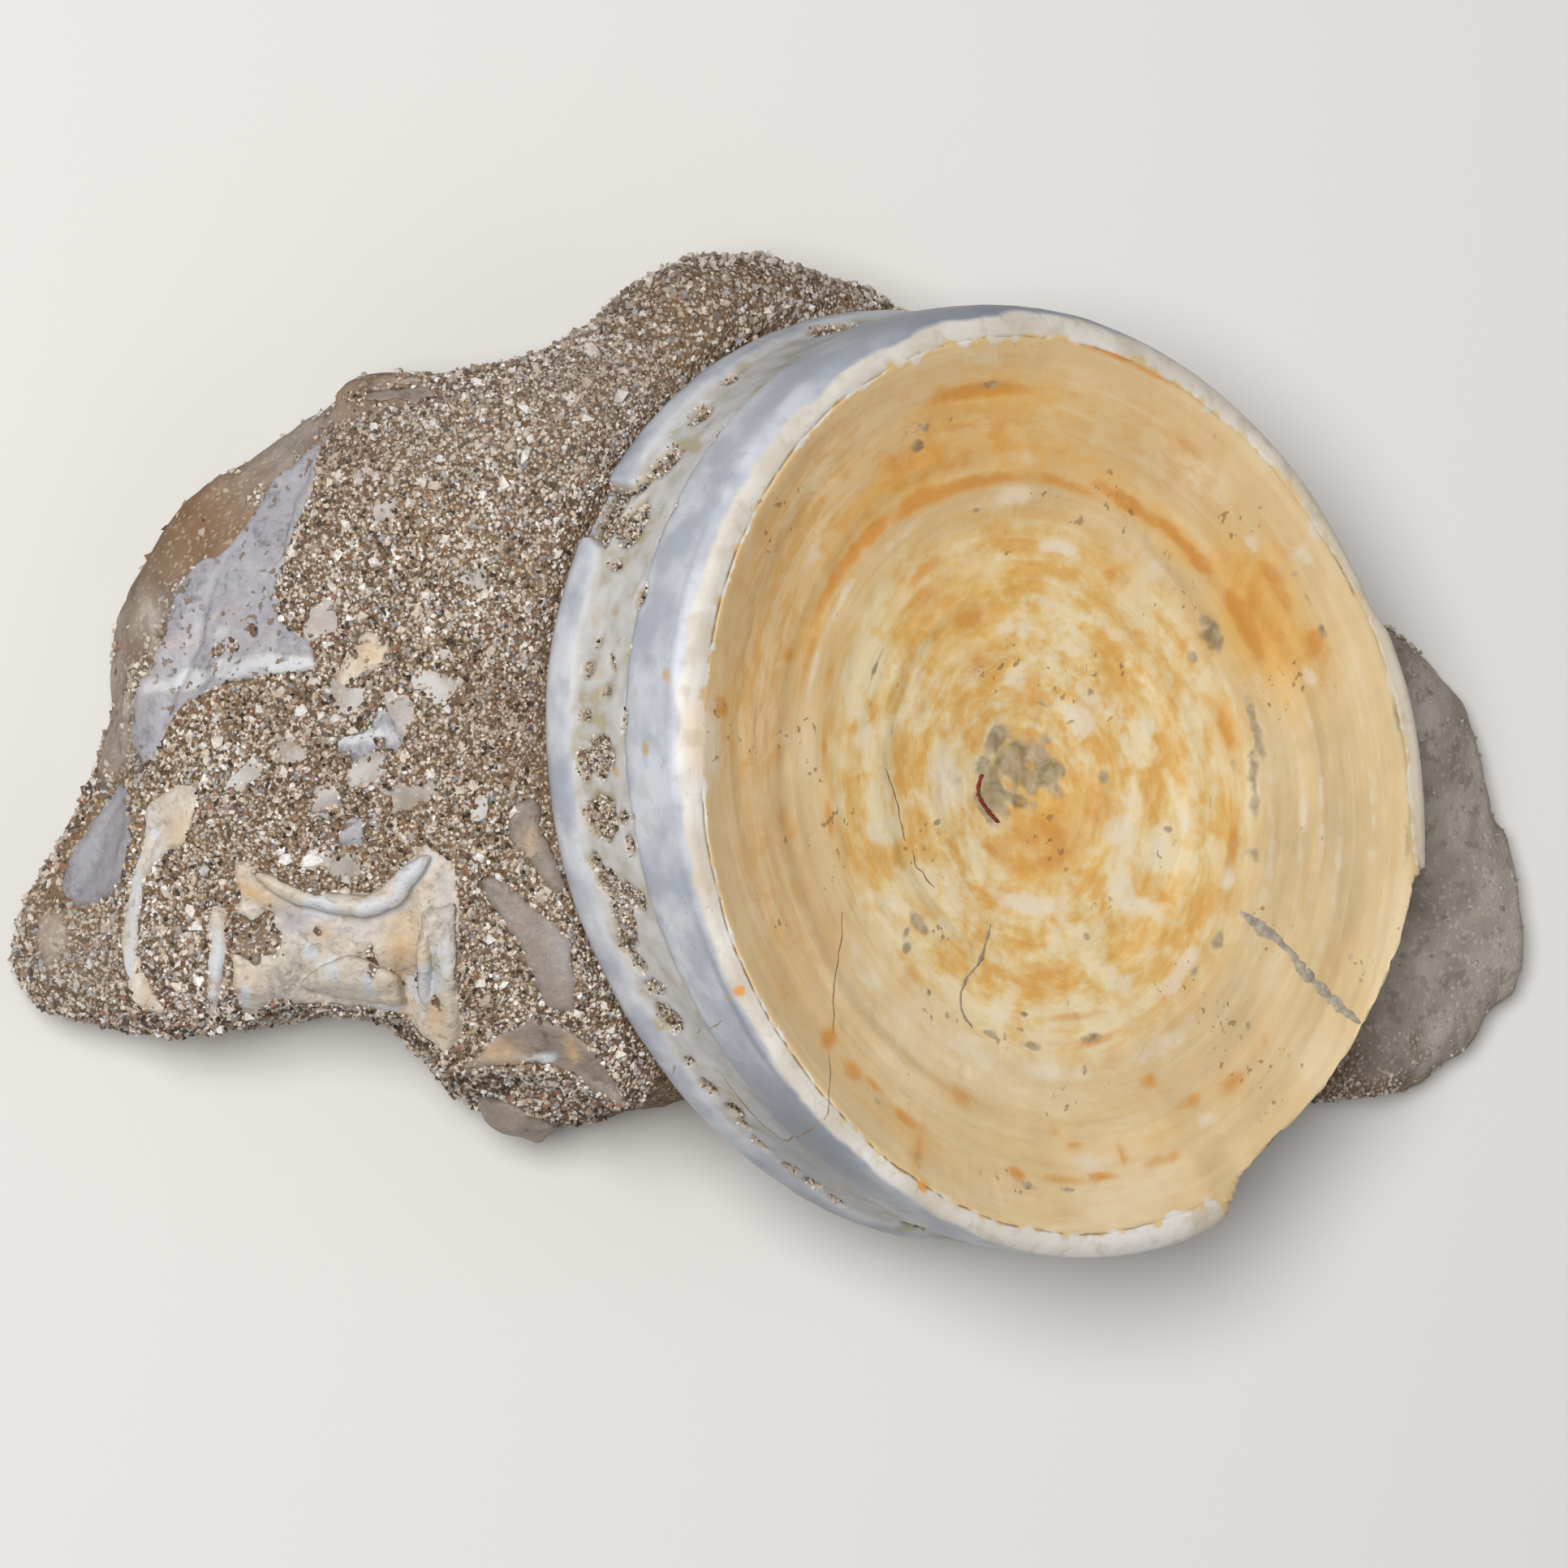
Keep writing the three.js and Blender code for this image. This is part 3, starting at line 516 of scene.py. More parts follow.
SILT_MARKS = [
    (13, 15.3, 5.5, 0.4, 1.1), (0, 14.7, 8, 0.35, 0.9), (346, 14.9, 3, 0.5, 0.8), (21, 15, 3, 0.35, 0.6),
    (35, 15, 6, 0.9, 0.85), (33, 13.3, 2.4, 0.35, 0.8), (355, 12.9, 3, 0.4, 0.7), (5, 13.5, 3, 0.3, 0.6),
    (326, 14.1, 2.5, 0.4, 0.9), (317, 13.9, 2.5, 0.3, 0.8), (318, 18.1, 1, 0.35, 1.0),
    (336, 21.8, 1, 0.35, 0.9), (319, 21, 2, 0.3, 0.5), (353, 20, 0.8, 0.25, 0.6),
    (256, 14.15, 2.5, 0.16, 1.2), (243, 14.5, 1.0, 0.2, 1.0), (228, 14.6, 1.1, 0.16, 1.0),
    (236, 14.1, 0.8, 0.2, 0.9), (265, 13.3, 1.5, 0.18, 1.1), (268, 14.0, 3, 0.25, 1.0),
    (266, 12.4, 1.8, 0.2, 1.2), (285, 13.6, 6, 0.14, 0.7), (224, 13.2, 1.4, 0.35, 1.2),
    (221, 12.4, 1.5, 0.5, 0.8), (222, 11.6, 4, 0.45, 1.2), (118, 19, 1.4, 0.4, 1.2),
    (116, 19.7, 1, 0.25, 1.0), (102, 13.7, 1.4, 0.4, 0.8), (109, 14.7, 2, 0.2, 0.7),
    (103, 21.1, 5, 0.18, 0.8), (28, 21.4, 6, 0.22, 0.9), (244, 23, 0.8, 1.0, 0.7), (235, 21.6, 2, 0.25, 0.7),
    (266, 21.6, 1.6, 0.25, 1.0), (273, 21.5, 2, 0.25, 1.0), (197.5, 6.8, 1.3, 0.3, 1.3),
    (5, 5.2, 4, 0.35, 1.1), (50, 6.9, 3, 0.25, 0.8), (80, 4.6, 8, 0.22, 0.9), (15, 2.8, 12, 0.2, 1.1),
    (75, 3.6, 12, 0.25, 0.8), (190, 2.2, 50, 0.9, 1.3), (120, 1.5, 50, 1.2, 1.3), (30, 1.9, 40, 1.1, 1.2),
    (250, 1.0, 60, 0.8, 0.9), (90, 0.3, 180, 0.8, 1.2), (130, 2.9, 26, 0.8, 1.1), (60, 3.0, 14, 0.5, 1.0),
    (200, 3.1, 22, 0.7, 1.1), (346, 9.4, 1.4, 0.25, 1.1), (355, 11.8, 4, 0.2, 0.9), (262, 9.3, 2, 0.18, 0.9),
    (160, 11.5, 1.4, 0.2, 0.9), (150, 11.9, 8, 0.12, 0.7), (165, 9.7, 9, 0.12, 0.7), (296, 8.6, 2, 0.35, 0.7),
    (12, 11.8, 8, 0.15, 0.6), (352, 23.9, 4, 0.3, 0.7), (32, 23.9, 8, 0.22, 0.8), (9, 24.0, 3, 0.25, 0.8),
]
# Where the face is darker tan, and where it carries dark specks.
TAN_MARKS = [
    (150, 20, 42, 4, 1.1), (110, 19, 40, 4, 1.0), (195, 19.5, 24, 3.5, 0.8), (70, 20, 28, 3.5, 0.7),
    (85, 15.5, 30, 2, 0.4),
]
SPECK_MARKS = [
    (182, 14.9, 22, 0.7, 1.0), (172, 17.5, 25, 2.2, 0.35), (196, 18.5, 22, 3, 0.3), (236, 21.5, 16, 0.6, 0.8),
    (270, 21.4, 9, 0.5, 0.8), (246, 14.3, 22, 0.5, 0.5), (144, 16.9, 12, 0.5, 0.5), (190, 9.3, 20, 0.5, 0.5),
    (160, 21.5, 20, 1.0, 0.3), (280, 11, 20, 2, 0.3), (243, 23.5, 3, 1.0, 0.8),
]
# Stains on the side, then its painted shade: where it turns from the light, and a shadow line under the lip's
# outer bevel. Direction, height, half span in degrees, half height, strength.
SIDE_STAINS = [
    (167.5, -1.0, 1.2, 0.45, 1.0), (175.8, -2.5, 1.1, 0.3, 0.8), (206.8, -0.9, 0.6, 0.5, 1.0),
    (143.5, -8.4, 1.2, 0.9, 0.9), (167.2, -7.6, 1.4, 0.9, 0.5), (178.5, -5.9, 1.4, 0.5, 0.5),
    (150, -9.8, 2.4, 0.5, 0.8), (153, -7.0, 1, 1.0, 0.3), (161, -8.4, 1.6, 0.7, 0.35),
    (174.5, -8.2, 0.6, 0.9, 0.6), (180.2, -9.2, 14, 0.14, 0.4), (125, -9.0, 7, 0.3, 0.5),
    (198, -7.1, 3, 0.3, 0.4), (156, -12, 2, 0.6, 0.9), (226, -8.4, 1.5, 0.6, 0.4),
    (181.5, -11.7, 12, 0.35, 0.5),
]
SIDE_SHADE_MARKS = [
    (212, -0.85, 20, 0.25, 0.9), (104, -3, 22, 6, 1.3), (232, -3, 14, 3.6, 1.1), (240, -7, 14, 3, 0.7),
    (222, -5.5, 14, 1.6, 0.35), (160, -0.8, 24, 0.16, 0.35), (120, -9.8, 6, 0.5, 0.4),
    (250, -10.6, 22, 0.9, 0.6), (128, -6.5, 8, 1.8, 0.3),
]
# Cracks that hold sediment: where they run, their width in mm, how brown they are, and their course, as
# directions in degrees with the distance from the axis (on the face) or the height (on the side) in mm.
CRACKS = [
    ("face", 1.0, 0.05, [
        (334, 14.6), (333.4, 16.2), (333.2, 17.4), (332, 18.6), (330.6, 19.4), (330, 21), (329.3, 22.4),
        (329, 23.5),
    ]),
    ("face", 0.22, 0.5, [(175, 9.9), (182, 9.4), (190, 9.25), (199, 9.5)]),
    ("face", 0.18, 0.5, [(203, 9.2), (211, 9.4), (220, 9.1)]),
    (
        "face", 0.36, 0.25,
        [(250.5, 8.3), (249.8, 9.8), (248, 10.9), (245.4, 11.8), (245, 12.8), (247, 13.8), (251, 14.3)]
    ),
    ("face", 0.15, 0.85, [(206, 15.7), (210, 16.4), (213, 17.4), (216, 18.9), (219.5, 20), (221.5, 21)]),
    ("face", 0.14, 0.5, [(222.6, 21.8), (224.4, 22.6), (225.6, 23.8), (227, 24.5), (227.8, 25)]),
    ("side", 0.16, 0.4, [(228.4, -1), (229.6, -2), (230.6, -3), (231.6, -4.1)]),
    ("side", 0.18, 0.4, [(232.6, -4.9), (234, -5.8), (234.3, -6.5), (232, -7.1), (226, -7.1), (221, -6.9)]),
    ("side", 0.14, 0.3, [(210.4, -2.5), (211.4, -3.4), (212.1, -4.3)]),
    ("side", 0.2, 0.3, [(213, -5.8), (213.7, -6.4)]),
    ("side", 0.18, 0.3, [(219.2, -9.7), (220, -10), (220.8, -10.4)]),
]
ROOT_FIBRE = [
    (170, 2.94), (176, 3.1), (182.7, 3.24), (189, 3.35), (194, 3.28), (200, 3.18), (213.4, 3.02),
    (228.4, 2.89)
]


def angle_table(table, angle):
    """The value of a table of directions in degrees and numbers, at angles in radians."""
    return np.interp(np.degrees(angle) % 360, [row[0] for row in table], [row[1] for row in table])


def marks_at(marks, angle, across):
    """How strong a set of soft marks is at each point; the strongest mark counts."""
    strength = np.zeros(np.broadcast(angle, across).shape)
    for direction, middle, half_span, half_width, amount in marks:
        apart = (np.degrees(angle) - direction + 180) % 360 - 180
        reach = (apart / half_span) ** 2 + ((across - middle) / half_width) ** 2
        strength = np.maximum(strength, amount * np.exp(-reach))
    return strength


def section_rows():
    """The section's rows: distance as a part of the radius, and height."""
    shares, heights = [], []
    for (share, height, spacing), (next_share, next_height, _) in zip(SECTION, SECTION[1:]):
        run = math.hypot((next_share - share) * DISC_RADIUS, next_height - height)
        steps = max(1, round(run / spacing))
        shares += [share + (next_share - share) * step / steps for step in range(steps)]
        heights += [height + (next_height - height) * step / steps for step in range(steps)]
    shares, heights = np.array(shares + [0.0]), np.array(heights + [SECTION[-1][1]])
    for _ in range(2):
        shares[1:-1] = (shares[:-2] + 2 * shares[1:-1] + shares[2:]) / 4
        heights[1:-1] = (heights[:-2] + 2 * heights[1:-1] + heights[2:]) / 4
    return shares[1:-1], heights[1:-1]


def disc_columns():
    """Directions round the disc, closest on the side that stands clear of the sandstone."""
    near = np.arange(112, 262, 0.5)
    far = np.linspace(262, 472, 195, endpoint=False)
    return np.radians(np.concatenate([near, far]))


def pit_field(angle, height, points):
    """Below 1 inside a hole of the groove."""
    pits = list(PITS)
    for count, direction in enumerate(range(FAR_PITS["start"], FAR_PITS["end"], FAR_PITS["step"])):
        long_part = 0.7 + 0.9 * abs(corner_value(count, 3, 1, 5))
        pits.append(
            (direction % 360, -7.3 - 1.5 * abs(corner_value(count, 7, 2, 5)), long_part, 0.7 * long_part, 0)
        )
    nearest = np.full(angle.shape, 9.0)
    for direction, middle, half_length, half_height, slant in pits:
        along = np.radians((np.degrees(angle) - direction + 180) % 360 - 180) * DISC_RADIUS
        up = height - middle
        turn = math.radians(slant)
        a = (along * math.cos(turn) + up * math.sin(turn)) / half_length
        b = (up * math.cos(turn) - along * math.sin(turn)) / half_height
        nearest = np.minimum(nearest, np.hypot(a, b))
    return nearest + 0.22 * noise(points, 0.7, 11, 2).reshape(angle.shape)


def vertebra_points(settings):
    """The disc's surface as rows and columns of points, and what the finish has to know at each."""
    shares, heights = section_rows()
    columns = disc_columns()
    angle = np.broadcast_to(columns[:, None], (len(columns), len(shares))).copy()
    share = np.broadcast_to(shares, angle.shape).copy()
    height = np.broadcast_to(heights, angle.shape).copy()
    rim_row = int(np.argmax(shares > 0.998))
    on_face = np.zeros(angle.shape, bool)
    on_face[:, :rim_row] = True
    lip = np.minimum(angle_table(LIP_LINE, angle), 0.99)
    rim = np.stack([np.cos(angle), np.sin(angle), 0 * angle], -1).reshape(-1, 3)
    lip = lip + 0.002 * noise(rim, 0.05, 3, 3).reshape(angle.shape)
    inner = share * lip / CREST
    outer = lip + (share - CREST) / (1 - CREST) * (1 - lip)
    share = np.where(on_face, np.where(share <= CREST, inner, outer), share)
    from_lip = (share - lip) * DISC_RADIUS
    ring = share * DISC_RADIUS

    def cloud(size, seed, octaves=1):
        points = np.stack([ring * np.cos(angle), ring * np.sin(angle), height], -1).reshape(-1, 3)
        return noise(points, size, seed, octaves).reshape(angle.shape)

    reach = np.minimum(ring, 8)
    growth = np.stack([ring, reach * np.cos(angle), reach * np.sin(angle)], -1)

    def streaks(size, seed, octaves=1):
        """Noise drawn out round the disc, as growth rings are."""
        return noise((growth * (1, 0.35, 0.35)).reshape(-1, 3), size, seed, octaves).reshape(angle.shape)

    face = smoothstep(0.2, 2.0, -from_lip) * on_face
    relief = settings.ring_relief / MM
    height = height + face * (relief * streaks(0.9, 1, 2) + 0.1 * cloud(7, 2, 2))
    height -= 0.04 * face * smoothstep(0.4, 0.85, cloud(1.3, 4))
    broken = angle_table(BROKEN_EDGE, angle)
    gap_in_crack = smoothstep(-0.55, 0.1, cloud(0.5, 6, 2)) * angle_table(LIP_OPENING, angle)
    crack = np.exp(-((from_lip / 0.07) ** 2)) * on_face * gap_in_crack * (broken > 0.995)
    height -= settings.crack_depth / MM * crack
    height += 0.05 * smoothstep(0.05, 0.6, from_lip) * on_face * (1 + streaks(0.7, 8))

    wall = 1.0 - on_face
    across_lip = (share - lip) / (1 - lip) + 0.1 * cloud(1.6, 17, 2)
    off_lip = on_face * (broken > 0.995) * smoothstep(0, 0.16, across_lip - angle_table(LIP_WIDTH, angle))
    groove = wall * smoothstep(GROOVE_TOP, GROOVE_TOP - 0.3, height) * smoothstep(
        GROOVE_FOOT, GROOVE_FOOT + 0.3, height
    )
    points = np.stack([ring * np.cos(angle), ring * np.sin(angle), height], -1).reshape(-1, 3)
    pits = pit_field(angle, height, points)
    pit = wall * smoothstep(1.08, 0.86, pits) * smoothstep(GROOVE_FOOT, GROOVE_FOOT + 0.3, height)
    start, end, gap_depth = BACK_RIM_GAP
    degrees = np.degrees(angle) + 0.9 * cloud(1.4, 9)
    gap = smoothstep(start - 0.5, start + 0.7, degrees) * smoothstep(end + 0.5, end - 0.7, degrees)
    gap = gap * (height < GROOVE_FOOT + 0.4) * wall * (height > LOWER_RIM_EDGE)
    inward = pit * settings.pit_depth / MM * (1 + 0.3 * cloud(0.7, 10)) + gap_depth * gap
    inward += wall * (0.06 * cloud(4, 12, 2) + 0.02 * cloud(0.8, 13)) + groove * 0.05 * cloud(0.9, 14, 2)
    inward -= angle_table(RIM_SWELL, angle) * smoothstep(0.96, 0.995, share) * smoothstep(-8, -4, height)
    share = share - inward / DISC_RADIUS

    lost = (broken < 0.995) & (share > broken) & (height > BREAK_FOOT)
    ragged = broken + 0.006 * cloud(0.8, 15, 2)
    edge_height = np.interp(broken * CREST / np.maximum(lip, CREST), shares[:rim_row], heights[:rim_row])
    share = np.where(lost, np.minimum(share, ragged), share)
    row_number = np.arange(len(shares))[None, :] - np.argmax(lost, axis=1)[:, None]
    height = np.where(lost, np.minimum(height, edge_height - 0.05 * row_number), height)
    radius = share * disc_radius(angle)
    points = np.stack([radius * np.cos(angle), radius * np.sin(angle), height], -1)
    stains = np.stack(
        [marks_at(table, angle, ring) * on_face for table in (OCHRE_MARKS, PALE_MARKS, SILT_MARKS)], -1
    )
    areas = np.stack(
        [marks_at(table, angle, ring) * on_face for table in (TAN_MARKS, SPECK_MARKS)] + [crack], -1
    )
    side_marks = [marks_at(table, angle, height) * (wall + off_lip) for table in (SIDE_STAINS, SIDE_SHADE_MARKS)]
    facts = {
        "growth": growth,
        "around": np.stack([np.cos(angle), np.sin(angle), height], -1),
        "stains": stains,
        "areas": areas,
        "glow": marks_at(GLOW_MARKS, angle, ring) * on_face,
        "side_marks": np.stack(side_marks + [groove], -1),
        "from_lip": np.where(broken < 0.995, -1.0, from_lip),
        "wall": np.maximum(wall * (1 - lost), off_lip),
        "sand": np.clip(pit + gap, 0, 1),
    }
    return points, facts


def closed_disc(points, facts):
    """The mesh of the rows and columns, closed at the middle of both faces."""
    columns, rows = points.shape[:2]
    number = np.arange(columns * rows).reshape(columns, rows)
    after = np.roll(number, -1, axis=0)
    quads = np.stack([number[:, :-1], number[:, 1:], after[:, 1:], after[:, :-1]], -1).reshape(-1, 4)
    front, back = columns * rows, columns * rows + 1
    front_fan = [(front, a, b) for a, b in zip(number[:, 0].tolist(), after[:, 0].tolist())]
    back_fan = [(back, b, a) for a, b in zip(number[:, -1].tolist(), after[:, -1].tolist())]
    middles = np.stack([points[:, 0].mean(0), points[:, -1].mean(0)])
    everything = np.concatenate([points.reshape(-1, 3), middles])
    mesh = mesh_of("vertebra", placed(everything, DISC_SEAT), quads.tolist() + front_fan + back_fan)
    for name, values in facts.items():
        flat = values.reshape(columns * rows, -1)
        ends = np.stack([values[:, 0].mean(0), values[:, -1].mean(0)]).reshape(2, -1)
        joined = np.concatenate([flat, ends])
        store(mesh, name, joined if joined.shape[1] == 3 else joined[:, 0])
    smooth_shaded(mesh)
    return mesh


def vertebra_material(settings):
    paint = Paint("fossil_vertebra", 0.45, 0.35)
    cream, ochre, chalk = tuple(settings.cream), tuple(settings.ochre), tuple(settings.chalk)
    growth = paint.vector("growth")
    ring = paint.parts(growth)[0]
    across = paint.parts(paint.vector("around"))[0]
    ochre_marks, pale_marks, silt_marks = paint.parts(paint.vector("stains"))
    tan_marks, speck_marks, crack = paint.parts(paint.vector("areas"))
    side_stains, side_shade, groove = paint.parts(paint.vector("side_marks"))
    from_lip = paint.number("from_lip")
    place = paint.place()

    patches = paint.noise(paint.scaled(growth, 0.5, 0.3, 0.3), 1.0, 5.0, 0.4)
    blots = paint.noise(paint.scaled(growth, 1.1, 0.8, 0.8), 1.0, 5.0, 0.3)
    lines = paint.noise(paint.scaled(growth, 1.7, 0.14, 0.14), 1.0, 3.0)
    clouds = paint.noise(place, 150, 5.0, 0.6)
    motes = paint.noise(place, 420, 6.0, 0.8)
    crumbs = paint.noise(place, 900, 4.0, 0.3)
    inside = paint.span(ring, 16.2, 12.5)
    flecks = paint.noise(paint.scaled(growth, 2.6, 1.8, 1.8), 1.0, 4.0, 0.3)
    field = paint.math("ADD", paint.math("MULTIPLY", patches, 0.3), paint.math("MULTIPLY", blots, 0.25))
    field = paint.math("ADD", field, paint.math("MULTIPLY", motes, 0.3))
    field = paint.math("ADD", field, paint.math("MULTIPLY", flecks, 0.15))
    inner = paint.ramp(
        field,
        [
            (0.41, tone(220, 168, 90)), (0.46, tone(226, 182, 110)), (0.505, tone(230, 200, 142)),
            (0.56, tone(236, 216, 174))
        ],
    )
    outer = paint.ramp(
        paint.math(
            "ADD", paint.math("MULTIPLY", patches, 0.4),
            paint.math("MULTIPLY_ADD", clouds, 0.4, paint.math("MULTIPLY", flecks, 0.2))
        ),
        [(0.36, shade(cream, 0.86)), (0.5, cream), (0.62, tone(230, 208, 168))],
    )
    face = paint.mix(inside, outer, inner)
    tanned = paint.math(
        "MULTIPLY", tan_marks, paint.span(paint.math("ADD", motes, flecks), 0.85, 1.15, 0.3, 1.0)
    )
    face = paint.mix(tanned, face, tone(210, 164, 102))
    face = paint.mix(paint.span(lines, 0.54, 0.66, 0.0, 0.2), face, tone(234, 216, 180))
    face = paint.mix(paint.span(lines, 0.46, 0.34, 0.0, 0.14), face, tone(200, 156, 96))
    glow = paint.math("MULTIPLY", paint.number("glow"), paint.span(motes, 0.3, 0.6, 0.6, 1.1))
    face = paint.mix(paint.span(glow, 0.0, 1.0, 0.0, 0.7), face, tone(234, 180, 86))
    face = paint.mix(paint.span(ochre_marks, 0.05, 0.9, 0.0, 0.4), face, tone(216, 156, 76))

    def ragged(marks, low=0.3, high=0.75):
        """Soft marks turned into ones with broken edges."""
        broken = paint.math("MULTIPLY", paint.math("SUBTRACT", motes, 0.5), 1.5)
        fine = paint.math("MULTIPLY", paint.math("SUBTRACT", crumbs, 0.5), 1.2)
        return paint.span(paint.math("ADD", marks, paint.math("ADD", broken, fine)), low, high)

    face = paint.mix(paint.math("MULTIPLY", ragged(ochre_marks, 0.3, 1.1), 0.8), face, ochre)
    face = paint.mix(paint.math("MULTIPLY", ragged(pale_marks, 0.2, 1.0), 0.6), face, tone(234, 222, 202))
    clustered = paint.math("ADD", paint.noise(place, 240, 3.0), paint.math("MULTIPLY", speck_marks, 0.12))
    specks = paint.math(
        "MULTIPLY", paint.span(paint.noise(place, 1900, 3.0), 0.62, 0.67), paint.span(clustered, 0.58, 0.64)
    )
    face = paint.mix(paint.math("MULTIPLY", specks, 0.65), face, tone(140, 108, 66))
    silt_grain = paint.noise(place, 1100, 5.0, 0.5)
    silt = paint.ramp(
        silt_grain, [(0.36, tone(126, 108, 82)), (0.46, tuple(settings.silt)), (0.62, tone(182, 165, 140))]
    )
    face = paint.mix(paint.math("MULTIPLY", ragged(silt_marks, 0.35, 0.8), 0.8), face, silt)

    lip = paint.mix(paint.span(clouds, 0.35, 0.65), shade(chalk, 0.9), tone(230, 225, 218))
    lip = paint.mix(paint.span(across, 0.2, 0.9, 0.0, 0.6), lip, tone(230, 212, 180))
    lip = paint.mix(paint.span(pale_marks, 0.2, 0.8), lip, tone(234, 216, 194))
    lip = paint.mix(ragged(ochre_marks, 0.4, 0.8), lip, tone(222, 158, 84))
    crumbled = paint.math("MULTIPLY", paint.math("SUBTRACT", paint.math("ADD", motes, crumbs), 1.0), 1.6)
    lip = paint.mix(paint.span(crumbs, 0.5, 0.34, 0.0, 0.5), lip, tone(196, 182, 160))
    face = paint.mix(paint.span(paint.math("ADD", from_lip, crumbled), -0.12, 0.12), face, lip)
    crack_tone = paint.ramp(crumbs, [(0.4, tone(104, 84, 60)), (0.6, tone(160, 140, 112))])
    face = paint.mix(paint.span(crack, 0.25, 0.8, 0.0, 0.85), face, crack_tone)

    mottle = paint.noise(place, 260, 5.0)
    # The side's bluish tones are white bone with a painted reflection of the sky.
    side = paint.mix(paint.span(mottle, 0.38, 0.62), shade(tuple(settings.side), 0.86), tone(202, 205, 211))
    side = paint.mix(paint.span(crumbs, 0.5, 0.34, 0.0, 0.3), side, tone(160, 162, 168))
    hollow_noise = paint.noise(place, 700, 4.0)
    hollow = paint.ramp(
        hollow_noise,
        [(0.34, tone(176, 166, 138)), (0.44, tuple(settings.hollow)), (0.6, tone(199, 197, 195))],
    )
    side = paint.mix(groove, side, hollow)
    # Painted shade on the side: darker where it turns from the light and in a shadow line under the lip's
    # bevel.
    side = paint.mix(
        paint.math("MULTIPLY", paint.math("MINIMUM", side_shade, 1.0), 0.85), side, tone(124, 128, 138)
    )
    stain_noise = paint.math("MULTIPLY", paint.math("SUBTRACT", hollow_noise, 0.5), 1.5)
    stained = paint.span(paint.math("ADD", side_stains, stain_noise), 0.25, 0.9)
    side = paint.mix(paint.math("MULTIPLY", stained, 0.85), side, tone(186, 152, 96))
    sand_share = paint.number("sand")
    side = paint.mix(paint.span(sand_share, 0.02, 0.3, 0.0, 0.6), side, tone(170, 152, 116))
    grain = paint.noise(place, 4200, 2.0)
    sand = paint.ramp(
        grain, [(0.36, tone(64, 54, 42)), (0.5, tone(118, 102, 84)), (0.64, tone(176, 162, 142))]
    )
    side = paint.mix(paint.span(sand_share, 0.3, 0.6), side, sand)

    everything = paint.mix(paint.number("wall"), face, side)
    relief = paint.math("ADD", paint.math("MULTIPLY", lines, 0.5), paint.math("MULTIPLY", blots, 0.5))
    relief = paint.math("ADD", relief, paint.math("MULTIPLY", specks, -0.5))
    relief = paint.math("ADD", relief, paint.math("MULTIPLY", crumbs, 0.35))
    normal = paint.bump(relief, 0.0001, 0.6)
    roughness = paint.math("MULTIPLY_ADD", sand_share, 0.4, 0.45)
    return paint.finish(everything, normal, roughness)


def crack_strips(vertebra):
    """Thin closed strips of sediment along the cracks, and the rootlet, laid on the vertebra's surface."""
    points, _ = corners_of(vertebra)
    local = in_seat(points, DISC_SEAT)
    surface = BVHTree.FromPolygons(local.tolist(), [tuple(face.vertices) for face in vertebra.polygons])
    corners, faces, browns = [], [], []
    rows = CRACKS + [("root", 0.3, 1.0, ROOT_FIBRE)]
    for number, (where, width, brown, course) in enumerate(rows):
        spots, outs = [], []
        directions = np.unwrap(np.radians([step[0] for step in course]))
        seconds = np.array([step[1] for step in course])
        lengths = np.hypot(np.diff(directions) * (12 if where != "side" else DISC_RADIUS), np.diff(seconds))
        at = np.concatenate([[0], np.cumsum(lengths)])
        for place in np.arange(0, at[-1], 0.16):
            direction = float(np.interp(place, at, directions))
            second = float(np.interp(place, at, seconds))
            wave = noise(np.array([[place, number, 0.0]]), 0.7, 71, 2)[0] * (
                0.12 if where != "root" else 0.03
            )
            if where == "side":
                direction += wave / DISC_RADIUS
                out = Vector((math.cos(direction), math.sin(direction), 0))
                start = out * 32 + Vector((0, 0, second))
            else:
                radius = (second + wave) / DISC_RADIUS * float(disc_radius(np.array([direction]))[0])
                out = Vector((0, 0, 1))
                start = Vector((math.cos(direction) * radius, math.sin(direction) * radius, 5))
            spot, normal, _, _ = surface.ray_cast(start, -out)
            spots.append(spot)
            outs.append(normal)
        for count, (spot, out) in enumerate(zip(spots, outs)):
            ahead = (spots[min(count + 1, len(spots) - 1)] - spots[max(count - 1, 0)]).normalized()
            aside = out.cross(ahead).normalized()
            uneven = 0.75 + 0.5 * noise(np.array([[count * 0.16, number, 3.0]]), 0.5, 72, 2)[0]
            half = width / 2 * max(0.35, uneven) * min(1, 0.4 + min(count, len(spots) - 1 - count) * 0.2)
            rise = 0.12 if where == "root" else 0.012
            for side_step, up in ((-1, -0.04), (-0.6, rise), (0.6, rise), (1, -0.04), (0, -0.25)):
                bite = 1 + 0.45 * noise(np.array([[count * 0.16, number, side_step]]), 0.22, 74, 3)[0]
                corners.append(spot + aside * half * side_step * bite + out * up)
                browns.append(brown)
        first = len(corners) - 5 * len(spots)
        for count in range(len(spots) - 1):
            here, there = first + 5 * count, first + 5 * (count + 1)
            faces += [(here + k, here + (k + 1) % 5, there + (k + 1) % 5, there + k) for k in range(5)]
        faces.append(tuple(first + k for k in reversed(range(5))))
        faces.append(tuple(len(corners) - 5 + k for k in range(5)))
    mesh = mesh_of("crack_sediment", placed(np.array(corners), DISC_SEAT), faces)
    store(mesh, "brown", np.array(browns))
    smooth_shaded(mesh)
    return mesh


def sediment_material():
    paint = Paint("crack_sediment", 0.8, 0.25)
    place = paint.place()
    brown = paint.number("brown")
    base = paint.ramp(
        brown,
        [
            (0.0, tone(186, 176, 158)), (0.5, tone(156, 132, 98)), (0.85, tone(172, 126, 72)),
            (1.0, tone(124, 44, 26))
        ],
    )
    grain = paint.noise(place, 2600, 3.0)
    body = paint.mix(paint.span(grain, 0.36, 0.66, 0.35, 0.0), base, tone(92, 76, 58))
    return paint.finish(body, paint.bump(grain, 0.00008, 0.8))


